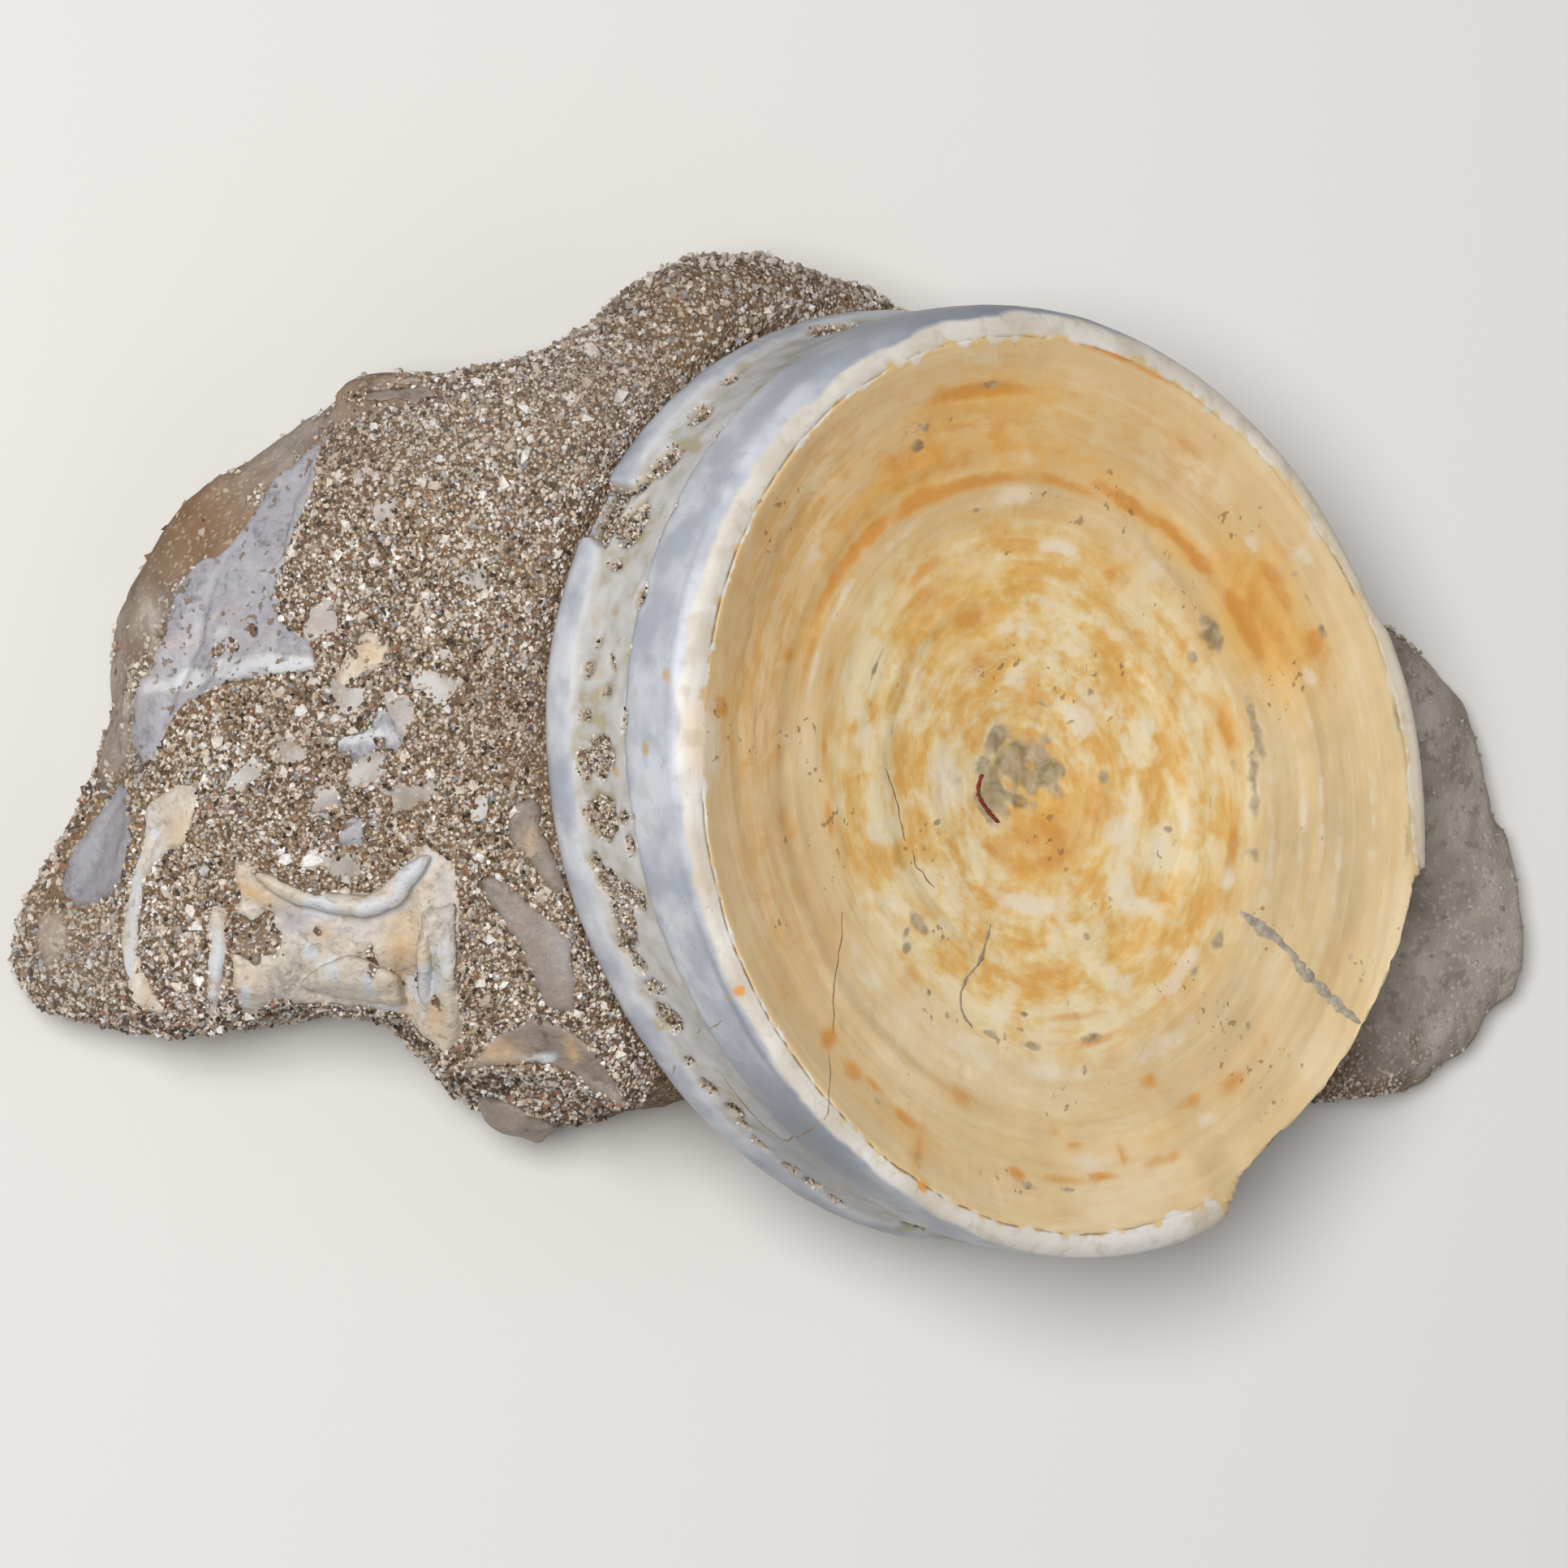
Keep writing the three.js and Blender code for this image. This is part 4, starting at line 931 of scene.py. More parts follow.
class FOSSIL_OT_vertebra(bpy.types.Operator):
    """Build the vertebra: a dished disc with growth rings, a cracked lip and a grooved side"""

    bl_idname = "fossil.vertebra"
    bl_label = "Vertebra"

    def execute(self, context):
        settings = context.scene.vertebra_settings
        points, facts = vertebra_points(settings)
        piece = link("vertebra", closed_disc(points, facts))
        finish_piece(piece, vertebra_material(settings), ["centrum"])
        strips = link("crack_sediment", crack_strips(piece.data))
        finish_piece(strips, sediment_material())
        return {"FINISHED"}


# ---- Bone fragments ----

# Each fragment: CAD node, slot, colour, how much its surface rolls in mm, how far its top is worn down in
# mm, how speckled it is, how deep its underside lies in mm, and how wide a strip of its edge is under sand.
FRAGMENTS = [
    ("bone_fan", "pale_bone", "pale", 0.1, 0.1, 1.0, 1.3, 0.04),
    ("chip_white", "pale_bone", "pale", 0.14, 0.22, 0.6, 1.0, 0.15),
    ("chip_grey", "pale_bone", "pale", 0.16, 0.14, 0.8, 1.0, 0.3),
    ("bone_lens", "grey_bone", "grey", 0.05, 0.26, 0.1, 1.1, 0.02),
    ("bone_flake", "grey_bone", "tan", 0.08, 0.2, 0.2, 1.2, 0.1),
    ("bone_wedge", "grey_bone", "tan", 0.14, 0.26, 0.4, 1.3, 0.1),
    ("bone_plate", "cream_bone", "cream", 0.12, 0.34, 0.3, 2.0, 0.08),
    ("bone_splinter", "cream_bone", "cream", 0.1, 0.05, 0.3, 1.4, 0.0),
    ("broken_bone", "cream_bone", "cream", 0.18, 0.04, 0.35, 2.0, 0.08),
    ("chip_tan", "cream_bone", "cream", 0.24, 0.16, 0.9, 1.0, 0.12),
    ("bone_shard", "brown_bone", "brown", 0.12, 0.36, 0.25, 1.6, 0.1),
    ("edge_flake", "brown_bone", "brown", 0.12, 0.32, 0.5, 1.2, 0.4),
    ("pebble", "brown_bone", "tan", 0.1, 0.0, 0.2, 0.0, 0.0),
]
# Marks on the fragments, laid out on the sloping bench: x and y, half length along and across, the turn of
# the length in degrees, and strength.
WHITE_MARKS = [
    (-38.6, -6.3, 1.6, 0.5, -8, 1.2), (-36.0, -6.2, 1.5, 0.5, 12, 1.3), (-34.2, -4.7, 1.5, 0.5, 50, 1.4),
    (-39.6, -8.6, 0.7, 0.5, 60, 1.0), (-38.3, -9.3, 0.35, 1.1, 10, 0.9), (-38.2, -11.5, 1.6, 0.3, -8, 1.1),
    (-35.9, -11.6, 1.3, 0.3, 10, 1.0), (-32.9, -8.4, 0.5, 0.4, 0, 0.9), (-47.7, -1.9, 0.5, 1.2, 10, 0.9),
    (-48.7, -7.5, 0.3, 4.5, -4, 0.9), (-44.4, -9.5, 0.5, 3.8, 6, 1.0), (-40.6, 6.4, 2.2, 0.5, -3, 1.1),
    (-36.6, -10.1, 0.3, 1.0, 5, 0.8), (-33.6, -10.8, 0.3, 1.6, 0, 0.8), (-29.9, -1.8, 0.5, 0.8, 0, 0.5),
    (-45.2, 5.7, 2.9, 0.6, 14, 1.1), (-43.0, -11.0, 0.6, 1.2, 10, 0.8), (-39.4, -9.6, 0.9, 0.5, 40, 0.8),
    (-32.6, -8.2, 0.4, 1.8, 0, 0.8), (-33.8, -13.0, 0.7, 0.4, -40, 0.7), (-44.6, -4.9, 1.0, 0.4, -40, 0.6),
    (-36.3, 2.7, 1.7, 1.1, 20, 1.3), (-33.5, -10.2, 1.2, 1.3, 0, 0.8), (-44.4, 8.3, 1.8, 1.2, 0, 0.45),
    (-47.4, -4.6, 0.3, 1.6, -8, 0.9), (-27.6, -14.2, 1.4, 0.5, 10, 0.6),
]
BONE_OCHRE_MARKS = [
    (-42.6, -5.3, 1.3, 0.45, -30, 1.1), (-34.5, -8.9, 0.9, 2.6, 4, 0.9), (-38.8, -7.6, 0.5, 0.35, 0, 0.8),
    (-33.0, -12.0, 0.6, 1.3, 10, 0.8), (-43.0, -10.6, 0.8, 1.0, 0, 0.5), (-25.9, -13.8, 0.35, 0.6, 15, 1.1),
    (-30.0, -13.8, 1.4, 0.8, 0, 0.5), (-36.4, 6.9, 0.9, 0.7, 0, 0.7), (-46.3, -2.2, 0.8, 0.9, 0, 0.5),
    (-28.0, -3.0, 0.5, 0.7, 0, 0.6), (-47.6, -9.5, 0.35, 2.5, -12, 0.5), (-35.2, 5.9, 0.5, 0.4, 0, 0.6),
]
LILAC_MARKS = [
    (-40.2, -6.9, 1.6, 0.8, -10, 0.9), (-37.0, -7.3, 1.4, 0.5, 8, 0.6), (-32.5, -6.0, 0.4, 2.0, 0, 0.6),
    (-26.2, -8.5, 1.0, 1.6, 30, 0.5), (-41.5, -11.2, 1.0, 0.5, 0, 0.4),
]
# Where the bone is fuller than the CAD model's flat top, in mm, hollows in it that hold sand, and where its
# edge reaches farther out, in mm.
BONE_SWELLS = [(-36.6, -8.6, 3.4, 1.5, 0, 1.0), (-41.0, -9.6, 1.2, 1.0, 0, 0.4)]
BONE_POCKETS = [
    (-42.2, -8.0, 1.3, 1.3, 10, 1.2), (-36.3, -9.0, 0.3, 0.9, -5, 1.0), (-43.2, -6.9, 0.5, 0.5, 0, 0.9),
    (-42.2, 8.0, 0.4, 0.5, 0, 0.7), (-44.4, 7.0, 0.5, 0.4, 0, 0.8), (-47.6, 1.0, 0.5, 0.6, 0, 0.7),
    (-45.4, -1.6, 0.5, 0.4, 0, 0.7), (-28.4, -3.4, 0.4, 0.4, 0, 0.7),
    (-32.9, -11.3, 0.25, 0.35, 0, 0.9), (-39.0, -7.5, 0.2, 0.25, 0, 0.8), (-43.4, 7.2, 0.3, 0.3, 0, 0.7),
]
WIDER_BONE = [(-45.6, 11.2, 2.2, 2.6, 30, 0.8), (-47.6, 5.5, 1.5, 3.0, 0, 0.3)]


def marks_on_bench(marks, spots):
    """How strong a set of soft marks is at points of the bench; the strongest mark counts."""
    strength = np.zeros(len(spots))
    for x, y, half_length, half_width, turn, amount in marks:
        across, along = spots[:, 0] - x, spots[:, 1] - y
        cos, sin = math.cos(math.radians(turn)), math.sin(math.radians(turn))
        lengthways = (across * cos + along * sin) / half_length
        sideways = (along * cos - across * sin) / half_width
        strength = np.maximum(strength, amount * np.exp(-(lengthways**2 + sideways**2)))
    return strength


def fragment_walls():
    """Search trees of the CAD model's fragments, laid out on the bench: all their faces, and their walls."""
    corners, faces, walls = [], [], []
    for node, *_ in FRAGMENTS[:-1]:
        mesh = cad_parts[node].data
        spots = in_seat(corners_of(mesh)[0], BENCH_SEAT)
        start = len(corners)
        corners += spots.tolist()
        own = BVHTree.FromPolygons(spots.tolist(), [tuple(face.vertices) for face in mesh.polygons])
        for face in mesh.polygons:
            numbers = list(face.vertices)
            faces.append([start + number for number in numbers])
            heights = spots[numbers, 2]
            if abs(face.normal @ BENCH_SEAT.col[2].to_3d()) < 0.3 and np.ptp(heights) > 0.9:
                middle = spots[numbers].mean(0)
                x, y = middle[:2] + 0.45 * np.array(
                    [face.normal @ BENCH_SEAT.col[axis].to_3d() for axis in (0, 1)]
                )
                if own.ray_cast((x, y, middle[2] + 20), (0, 0, -1))[0] is None:
                    walls.append(faces[-1])
    return BVHTree.FromPolygons(corners, faces), BVHTree.FromPolygons(corners, walls)


def beyond_outline(spots, trees, reach=3.0):
    """How far places on the bench lie outside the nearest fragment's outline, in mm, negative inside it."""
    faces, walls = trees
    beyond = np.full(len(spots), reach)
    down = Vector((0, 0, -1))
    for number, spot in enumerate(spots.tolist()):
        near = faces.find_nearest(spot, reach)[0]
        if near is None:
            continue
        inside = faces.ray_cast((spot[0], spot[1], near[2] + 3), down, 6)[0]
        level = (inside or near)[2] - 0.5
        distance = walls.find_nearest((spot[0], spot[1], level), reach)[3] or reach
        beyond[number] = -distance if inside else distance
    return beyond


ROUNDING = {"broken_bone": 5}  # smoothing steps of a fragment's ridges, 2 on the others
WANDER, CHIP_WANDER = 0.2, 0.36  # how far an outline strays from its plain shape, in mm
CHIP_HOLES = 0.6  # how strongly a chip is broken up by sand


def fragment_mesh(node, cell, roll, worn, buried, trees):
    """A fragment with a ragged outline and a rolling, worn top, and its marks kept at its corners."""
    mesh = in_cells(bare_copy(node), cell, ROUNDING.get(node, 2))
    points, normals = corners_of(mesh)
    spots = in_seat(points, BENCH_SEAT)
    up = normals @ np.array(BENCH_SEAT)[:3, 2]
    level = spots * (1, 1, 0)
    top = smoothstep(0.1, 0.8, up)
    is_chip = node.startswith("chip")
    patchy = 0.12 + CHIP_HOLES * noise(level, 0.7, 50, 2) if is_chip else 0.0
    holes = marks_on_bench(BONE_POCKETS, spots) + 0.25 * noise(level, 0.8, 47, 2) + patchy
    pocket = smoothstep(0.35, 0.7, holes) * top
    ragged = 0.55 * noise(level, 1.5, 48, 2) + 0.3 * noise(level, 0.45, 49)
    beyond = beyond_outline(spots, trees, 1.2) if node != "pebble" else np.full(len(spots), -1.2)
    cover = smoothstep(-0.12, 0.12, beyond + buried * (1 + 1.5 * ragged)) * smoothstep(-0.3, 0.1, up)
    moved = spots + (normals @ np.array(BENCH_SEAT)[:3, :3]) * 0.16
    wander = CHIP_WANDER if is_chip else WANDER
    moved[:, 0] += wander * noise(level, 1.2, 43) + 0.06 * noise(level, 0.45, 44)
    moved[:, 0] -= marks_on_bench(WIDER_BONE, spots)
    moved[:, 1] += wander * noise(level, 1.2, 45) + 0.06 * noise(level, 0.45, 46)
    rolling = roll * noise(level, 2.3, 41, 3) + 0.35 * roll * noise(level, 0.5, 42, 2)
    moved[:, 2] += top * (rolling - worn) - 0.4 * pocket - 0.35 * cover * top
    moved[:, 2] += marks_on_bench(BONE_SWELLS, spots) * smoothstep(-0.3, -0.05, up)
    move_corners(mesh, placed(moved, BENCH_SEAT))
    store(mesh, "bench", spots)
    store(mesh, "white", marks_on_bench(WHITE_MARKS, spots))
    store(mesh, "ochre", marks_on_bench(BONE_OCHRE_MARKS, spots))
    store(mesh, "lilac", marks_on_bench(LILAC_MARKS, spots))
    store(mesh, "sand", np.maximum(pocket, cover * 0.9))
    store(mesh, "pocket", np.maximum(pocket, cover))
    return mesh


def bone_material(name, base, speckle):
    paint = Paint(name, 0.5, 0.35)
    place = paint.place()
    bench = paint.vector("bench")
    clouds = paint.noise(place, 300, 6.0, 0.8)
    fine = paint.noise(place, 2200, 5.0, 0.6)
    grain = paint.noise(paint.scaled(bench, 2.6, 0.5, 1.0), 1.0, 4.0, 0.3)
    mottle = paint.math("ADD", paint.math("MULTIPLY", clouds, 0.45), paint.math("MULTIPLY", grain, 0.15))
    mottle = paint.math("ADD", mottle, paint.math("MULTIPLY", fine, 0.4))
    body = paint.ramp(
        mottle,
        [(0.36, shade(base, 0.6)), (0.46, base), (0.56, shade(base, 1.15)), (0.64, shade(base, 1.34))],
    )
    stain = paint.noise(place, 210, 4.0, 0.8)
    body = paint.mix(paint.span(stain, 0.55, 0.7, 0.0, 0.2), body, tone(200, 166, 122))
    body = paint.mix(paint.math("MULTIPLY", paint.number("lilac"), 0.8), body, tone(176, 172, 178))
    ragged = paint.span(clouds, 0.35, 0.6, 0.4, 1.3)
    ochre = paint.math("MINIMUM", paint.math("MULTIPLY", paint.number("ochre"), ragged), 1.0)
    body = paint.mix(ochre, body, tone(205, 172, 130))
    white = paint.span(paint.math("MULTIPLY", paint.number("white"), ragged), 0.25, 0.7)
    body = paint.mix(white, body, tone(200, 200, 202))
    specks = paint.noise(place, 2100, 3.0)
    spread = paint.noise(place, 330, 2.0)
    share = paint.math(
        "MULTIPLY", paint.span(specks, 0.58, 0.66), paint.span(spread, 0.38, 0.55, 0.0, speckle)
    )
    share = paint.math("MAXIMUM", share, paint.span(paint.number("pocket"), 0.2, 0.6))
    body = paint.mix(share, body, tone(132, 112, 92))
    height = paint.math("ADD", mottle, paint.math("MULTIPLY", share, -0.4))
    return paint.finish(body, paint.bump(height, 0.00025, 0.8))


class FOSSIL_OT_fragments(bpy.types.Operator):
    """Build the bone fragments that lie in the sandstone"""

    bl_idname = "fossil.fragments"
    bl_label = "Bone fragments"

    def execute(self, context):
        settings = context.scene.bone_settings
        trees = fragment_walls()
        materials = {}
        for node, slot, hue, roll, worn, speckle, _, buried in FRAGMENTS:
            mesh = fragment_mesh(node, settings.cell, roll, worn, buried, trees)
            if (hue, speckle) not in materials:
                materials[hue, speckle] = bone_material(f"{hue}_bone", tuple(getattr(settings, hue)), speckle)
            finish_piece(link(f"fine_{node}", mesh), materials[hue, speckle], [node])
        return {"FINISHED"}


# ---- The sandstone ----


def sandstone_material(settings):
    """The silt between the loose grains, itself of finer grains whose dark gaps are silt and also painted
    shade, and the places that are worn smooth.
    """
    paint = Paint("sandstone", 0.9, 0.2)
    place = paint.place()
    distance, cell = paint.cells(place, 4800)
    pick = paint.parts(cell)[0]
    grain = paint.ramp(
        pick,
        [
            (0.0, tone(70, 56, 42)), (0.2, tone(112, 90, 68)), (0.45, tone(148, 128, 106)),
            (0.7, tone(172, 156, 138)), (0.92, tone(206, 196, 182)),
        ],
    )
    # The binder at the cells' edges is silt and also painted shade between the grains.
    body = paint.mix(paint.span(distance, 0.35, 0.65), grain, tuple(settings.binder_and_gap_shade))
    stain = paint.noise(place, 110, 3.0)
    body = paint.mix(paint.span(stain, 0.42, 0.68, 0.0, 0.4), body, tone(150, 122, 88))
    clouds = paint.noise(place, 260, 5.0, 0.5)
    worn = paint.ramp(
        clouds, [(0.36, tone(112, 92, 74)), (0.5, tone(142, 122, 102)), (0.64, tone(168, 152, 134))]
    )
    # A paler, greyer tone for dusty places; on the ledge right of the disc it is also painted light, paler
    # where the disc's shadow falls.
    dust_and_light_tone = paint.ramp(
        clouds, [(0.36, tone(146, 136, 127)), (0.5, tone(164, 153, 143)), (0.64, tone(182, 172, 162))]
    )
    pocked = paint.span(paint.noise(place, 1000, 3.0), 0.55, 0.63, 0.0, 0.4)
    dust_and_light_tone = paint.mix(pocked, dust_and_light_tone, tone(112, 100, 90))
    worn = paint.mix(paint.number("dust"), worn, dust_and_light_tone)
    worn = paint.mix(paint.math("MULTIPLY", paint.number("rust"), 0.7), worn, tone(134, 102, 72))
    chalk = paint.ramp(
        clouds, [(0.36, tone(150, 138, 126)), (0.48, tone(176, 168, 160)), (0.62, tone(198, 195, 192))]
    )
    edge = paint.math("MULTIPLY", paint.math("SUBTRACT", paint.noise(place, 900, 4.0), 0.5), 1.6)
    chalky = paint.span(paint.math("ADD", paint.number("chalky"), edge), 0.38, 0.5)
    worn = paint.mix(chalky, worn, chalk)
    worn = paint.mix(paint.span(pick, 0.8, 0.95, 0.0, 0.35), worn, grain)
    off_chalk = paint.math("SUBTRACT", 1.0, paint.math("GREATER_THAN", paint.number("chalky"), 0.02))
    smooth = paint.math("MAXIMUM", paint.math("MULTIPLY", paint.number("smooth"), off_chalk), chalky)
    body = paint.mix(smooth, body, worn)
    relief = paint.math(
        "MULTIPLY", paint.math("SUBTRACT", 1.0, distance), paint.math("MULTIPLY_ADD", smooth, -0.8, 1.0)
    )
    height = paint.math("ADD", relief, paint.math("MULTIPLY", clouds, smooth))
    return paint.finish(body, paint.bump(height, 0.00014, 0.9))


def grain_material():
    paint = Paint("sand_grains", 0.55, 0.45)
    place = paint.place()
    stops = [
        (0.0, tone(54, 44, 36)), (0.09, tone(100, 78, 60)), (0.17, tone(150, 108, 84)),
        (0.23, tone(142, 122, 102)),
        (0.33, tone(188, 166, 142)), (0.45, tone(210, 194, 174)), (0.56, tone(160, 162, 166)),
        (0.63, tone(190, 182, 174)), (0.72, tone(218, 204, 186)), (0.82, tone(232, 224, 212)),
        (0.91, tone(240, 237, 232)),
    ]
    body = paint.ramp(paint.number("tone"), stops, "CONSTANT")
    stain = paint.span(paint.noise(place, 140, 3.0), 0.5, 0.7, 0.0, 0.35)
    stain = paint.math(
        "MINIMUM", paint.math("ADD", stain, paint.math("MULTIPLY", paint.number("rust"), 0.6)), 1.0
    )
    body = paint.mix(stain, body, paint.mix(0.7, body, tone(170, 120, 74), "MULTIPLY"))
    body = paint.mix(
        paint.span(paint.noise(place, 5200, 2.0), 0.35, 0.65, 0.0, 0.25), body, tone(112, 98, 82)
    )
    # Grains paled where the sand is dusty; on the ledge right of the disc this is also painted light against
    # the disc's shadow.
    body = paint.mix(paint.math("MULTIPLY", paint.number("dust"), 0.65), body, tone(160, 151, 142))
    return paint.finish(body, paint.bump(paint.noise(place, 9000, 2.0), 0.00002, 0.5))


# Marks in the sand, as those on the fragments: browner places, places dulled by fine powder, which on the
# ledge right of the disc is also painted light against the disc's shadow, chalky flat bits, and places that
# are worn smooth.
RUST_MARKS = [
    (-46.0, 13.6, 3.2, 2.6, 55, 1.1), (-37.6, 18.0, 1.6, 2.0, 10, 0.9), (-29.0, 2.0, 5.0, 3.0, 70, 0.5),
    (-42.5, -0.5, 3.0, 1.0, 25, 0.4), (-25.5, -3.5, 1.0, 4.0, 0, 0.45), (-36.0, 4.0, 4.0, 3.0, 0, 0.25),
    (-42.6, 4.2, 2.6, 1.2, 15, 0.6),
]
DUST_AND_LIGHT_MARKS = [
    (-33.0, 18.5, 5.0, 3.0, 10, 0.5), (-24.0, 22.0, 7.0, 5.0, 30, 0.6), (-14.0, 28.0, 9.0, 5.0, 0, 1.0),
    # The ledge right of the disc: dusty, and also painted light against the disc's shadow.
    (23.0, -4.0, 10.0, 16.0, 0, 1.6), (-52.0, -9.0, 3.0, 3.0, 0, 0.8), (-47.5, 8.5, 2.0, 3.0, 70, 0.9),
    (-40.5, 18.0, 3.0, 1.4, 35, 1.0), (-49.6, 2.5, 1.2, 4.0, 0, 0.9),
]
CHALK_MARKS = [
    (-42.8, 0.5, 1.0, 0.6, 30, 1.3), (-38.5, -0.7, 0.7, 0.8, 0, 1.2),
    (-33.1, 5.4, 1.3, 0.7, -20, 1.2), (-38.5, 8.4, 1.1, 0.7, 30, 1.1), (-37.4, 4.6, 1.2, 0.9, 10, 1.2),
    (-36.4, 0.9, 1.0, 0.9, 0, 1.2), (-34.2, -0.6, 1.2, 0.7, 20, 1.2), (-39.0, -3.6, 1.2, 0.6, 0, 1.1),
    (-31.0, 10.6, 0.8, 0.6, 0, 1.0), (-35.6, 14.2, 0.8, 0.6, 40, 1.0), (-30.6, -1.0, 0.8, 1.0, 0, 1.1),
    (-40.4, 1.8, 0.7, 0.6, 0, 1.1), (-37.4, -4.2, 1.3, 0.6, 0, 1.1), (-34.6, 3.4, 0.7, 1.3, 20, 1.1),
]
SMOOTH_MARKS = [
    (-50.0, 3.5, 1.2, 4.0, 5, 1.3), (-48.3, 9.5, 1.6, 3.4, -20, 1.4), (-45.2, 13.6, 3.6, 2.4, 50, 1.5),
    (-41.6, 17.2, 3.6, 1.4, 38, 1.4), (-37.0, 20.3, 3.4, 1.3, 15, 1.2), (-53.2, -8.0, 1.0, 2.0, -10, 0.8),
    (23.0, -4.0, 9.0, 14.0, 0, 1.6), (-43.5, -1.2, 0.8, 0.5, 0, 0.7),
    (-33.2, 7.4, 0.9, 0.5, 20, 0.7), (-39.2, 12.4, 0.7, 0.6, 0, 0.8), (-31.8, 4.4, 0.8, 0.5, 60, 0.7),
]


# Hollows in the lump's front, under the broken bone and the shard, and where the sand beside the bone lies
# lower; the strength is the depth in mm.
HOLLOWS = [
    (-37.6, -12.4, 3.8, 1.0, -3, 1.3), (-37.0, -14.0, 5.0, 1.8, -3, 1.6), (-28.0, -16.4, 4.0, 1.2, -10, 0.8)
]
LOW_SAND = [(-37.6, -12.6, 3.8, 0.9, -3, 1.6), (-42.0, -12.0, 1.2, 0.6, 30, 0.8)]


def pocket_plug(node, depth):
    """A fragment's copy, grown and cut down to the level of the sand, that fills its pocket in the lump."""
    mesh = bare_copy(node)
    points, normals = corners_of(mesh)
    spots = in_seat(points, BENCH_SEAT)
    out = (normals @ np.array(BENCH_SEAT)[:3, :3]) * (1, 1, 0)
    under = normals @ np.array(BENCH_SEAT)[:3, 2] < -0.2
    apart = np.linalg.norm(spots[:, None, :2] - spots[None, under, :2], axis=2)
    level = spots[under, 2][np.argmin(apart, axis=1)] + depth
    spots[:, 2] = np.where(under, spots[:, 2] - 1.6, level)
    spots += out / np.maximum(np.linalg.norm(out, axis=1), 0.2)[:, None] * 0.4
    move_corners(mesh, placed(spots, BENCH_SEAT))
    return mesh


NO_BONE = -9.0
BONE_COVER = 0.3  # how far below the bone the sand is kept, in mm


def bone_tree():
    """A search tree of all the fragments' finished surfaces, laid out on the bench."""
    bones = joined([bpy.data.objects[f"fine_{row[0]}"].data for row in FRAGMENTS])
    surface = in_seat(corners_of(bones)[0], BENCH_SEAT)
    return BVHTree.FromPolygons(surface.tolist(), [face.vertices for face in bones.polygons])


def bone_over(spots, tree):
    """How far the bone's surface lies above places on the bench, in mm; NO_BONE where there is none."""
    above = np.full(len(spots), NO_BONE)
    for number, (x, y, z) in enumerate(spots.tolist()):
        hit = tree.ray_cast((x, y, z + 4), (0, 0, -1), 6)[0]
        if hit is not None:
            above[number] = hit[2] - z
    return above


def sandstone_mesh(settings, trees):
    """The lump with its broken surface, swollen to close the gaps round the pieces that lie in it."""
    plugs = [pocket_plug(row[0], row[6]) for row in FRAGMENTS[:-1]]
    mesh = in_cells(joined([bare_copy("matrix"), *plugs]), settings.cell, 6)
    points, normals = corners_of(mesh)
    flat = (points[:, 2] < 0.35 * MM) & (normals[:, 2] < -0.6)
    places = points / MM
    spots = in_seat(points, BENCH_SEAT)
    lumps = settings.lumps / MM
    uneven = lumps * noise(places, 3.2, 21, 2) + 0.55 * lumps * noise(places, 1.1, 22, 2)
    beyond = beyond_outline(spots, trees)
    uneven *= 0.3 + 0.7 * smoothstep(0.1, 1.6, beyond)
    smooth = smoothstep(0.3, 0.8, marks_on_bench(SMOOTH_MARKS, spots) + 0.3 * noise(places, 1.6, 23, 3))
    chalk = marks_on_bench(CHALK_MARKS, spots)
    chalky = smoothstep(0.4, 0.75, chalk + 0.6 * noise(places, 0.8, 24, 2)) * (chalk > 0.1)
    smooth = np.maximum(smooth, chalky)
    out = 0.26 + uneven * (1 - 0.5 * smooth)
    on_disc = in_seat(points, DISC_SEAT)
    share = np.hypot(on_disc[:, 0], on_disc[:, 1]) / disc_radius(np.arctan2(on_disc[:, 1], on_disc[:, 0]))
    under_disc = smoothstep(1.04, 0.98, share) * (on_disc[:, 2] < 0) * (on_disc[:, 2] > -13.2)
    sunk = smoothstep(0.0, -0.7, beyond) * 0.6
    out = np.where(under_disc > 0, out * (1 - under_disc), out - sunk)
    hollow = marks_on_bench(HOLLOWS, spots)
    out = out - hollow * (normals @ np.array(BENCH_SEAT)[:3, 2] < 0.75)
    points = points + normals * (out * MM)[:, None]
    spots = in_seat(points, BENCH_SEAT)
    spots[:, 2] -= marks_on_bench(LOW_SAND, spots) * smoothstep(0.0, 0.5, beyond)
    bones = bone_tree()
    cover = bone_over(spots, bones)
    spots[:, 2] -= np.maximum(BONE_COVER - cover, 0) * smoothstep(0.0, -0.25, beyond) * (cover > -3)
    points = placed(spots, BENCH_SEAT)
    points[flat, 2] = 0
    points[:, 2] = np.maximum(points[:, 2], 0)
    move_corners(mesh, points)
    open_air = (1 - smoothstep(1.0, 0.97, share) * (on_disc[:, 2] < 0.5)) * (points[:, 2] > 0.6 * MM)
    store(mesh, "open_air", open_air * (bone_over(spots, bones) < 0.03))
    store(mesh, "rust", marks_on_bench(RUST_MARKS, spots))
    store(mesh, "dust", np.minimum(marks_on_bench(DUST_AND_LIGHT_MARKS, spots), 1))
    store(mesh, "smooth", smooth)
    store(mesh, "chalky", chalky)
    return mesh


class FOSSIL_OT_sandstone(bpy.types.Operator):
    """Build the lump of sandstone"""

    bl_idname = "fossil.sandstone"
    bl_label = "Sandstone"

    def execute(self, context):
        settings = context.scene.sandstone_settings
        piece = link("sandstone", sandstone_mesh(settings, fragment_walls()))
        finish_piece(piece, sandstone_material(settings), ["matrix"])
        return {"FINISHED"}


# ---- Loose grains ----


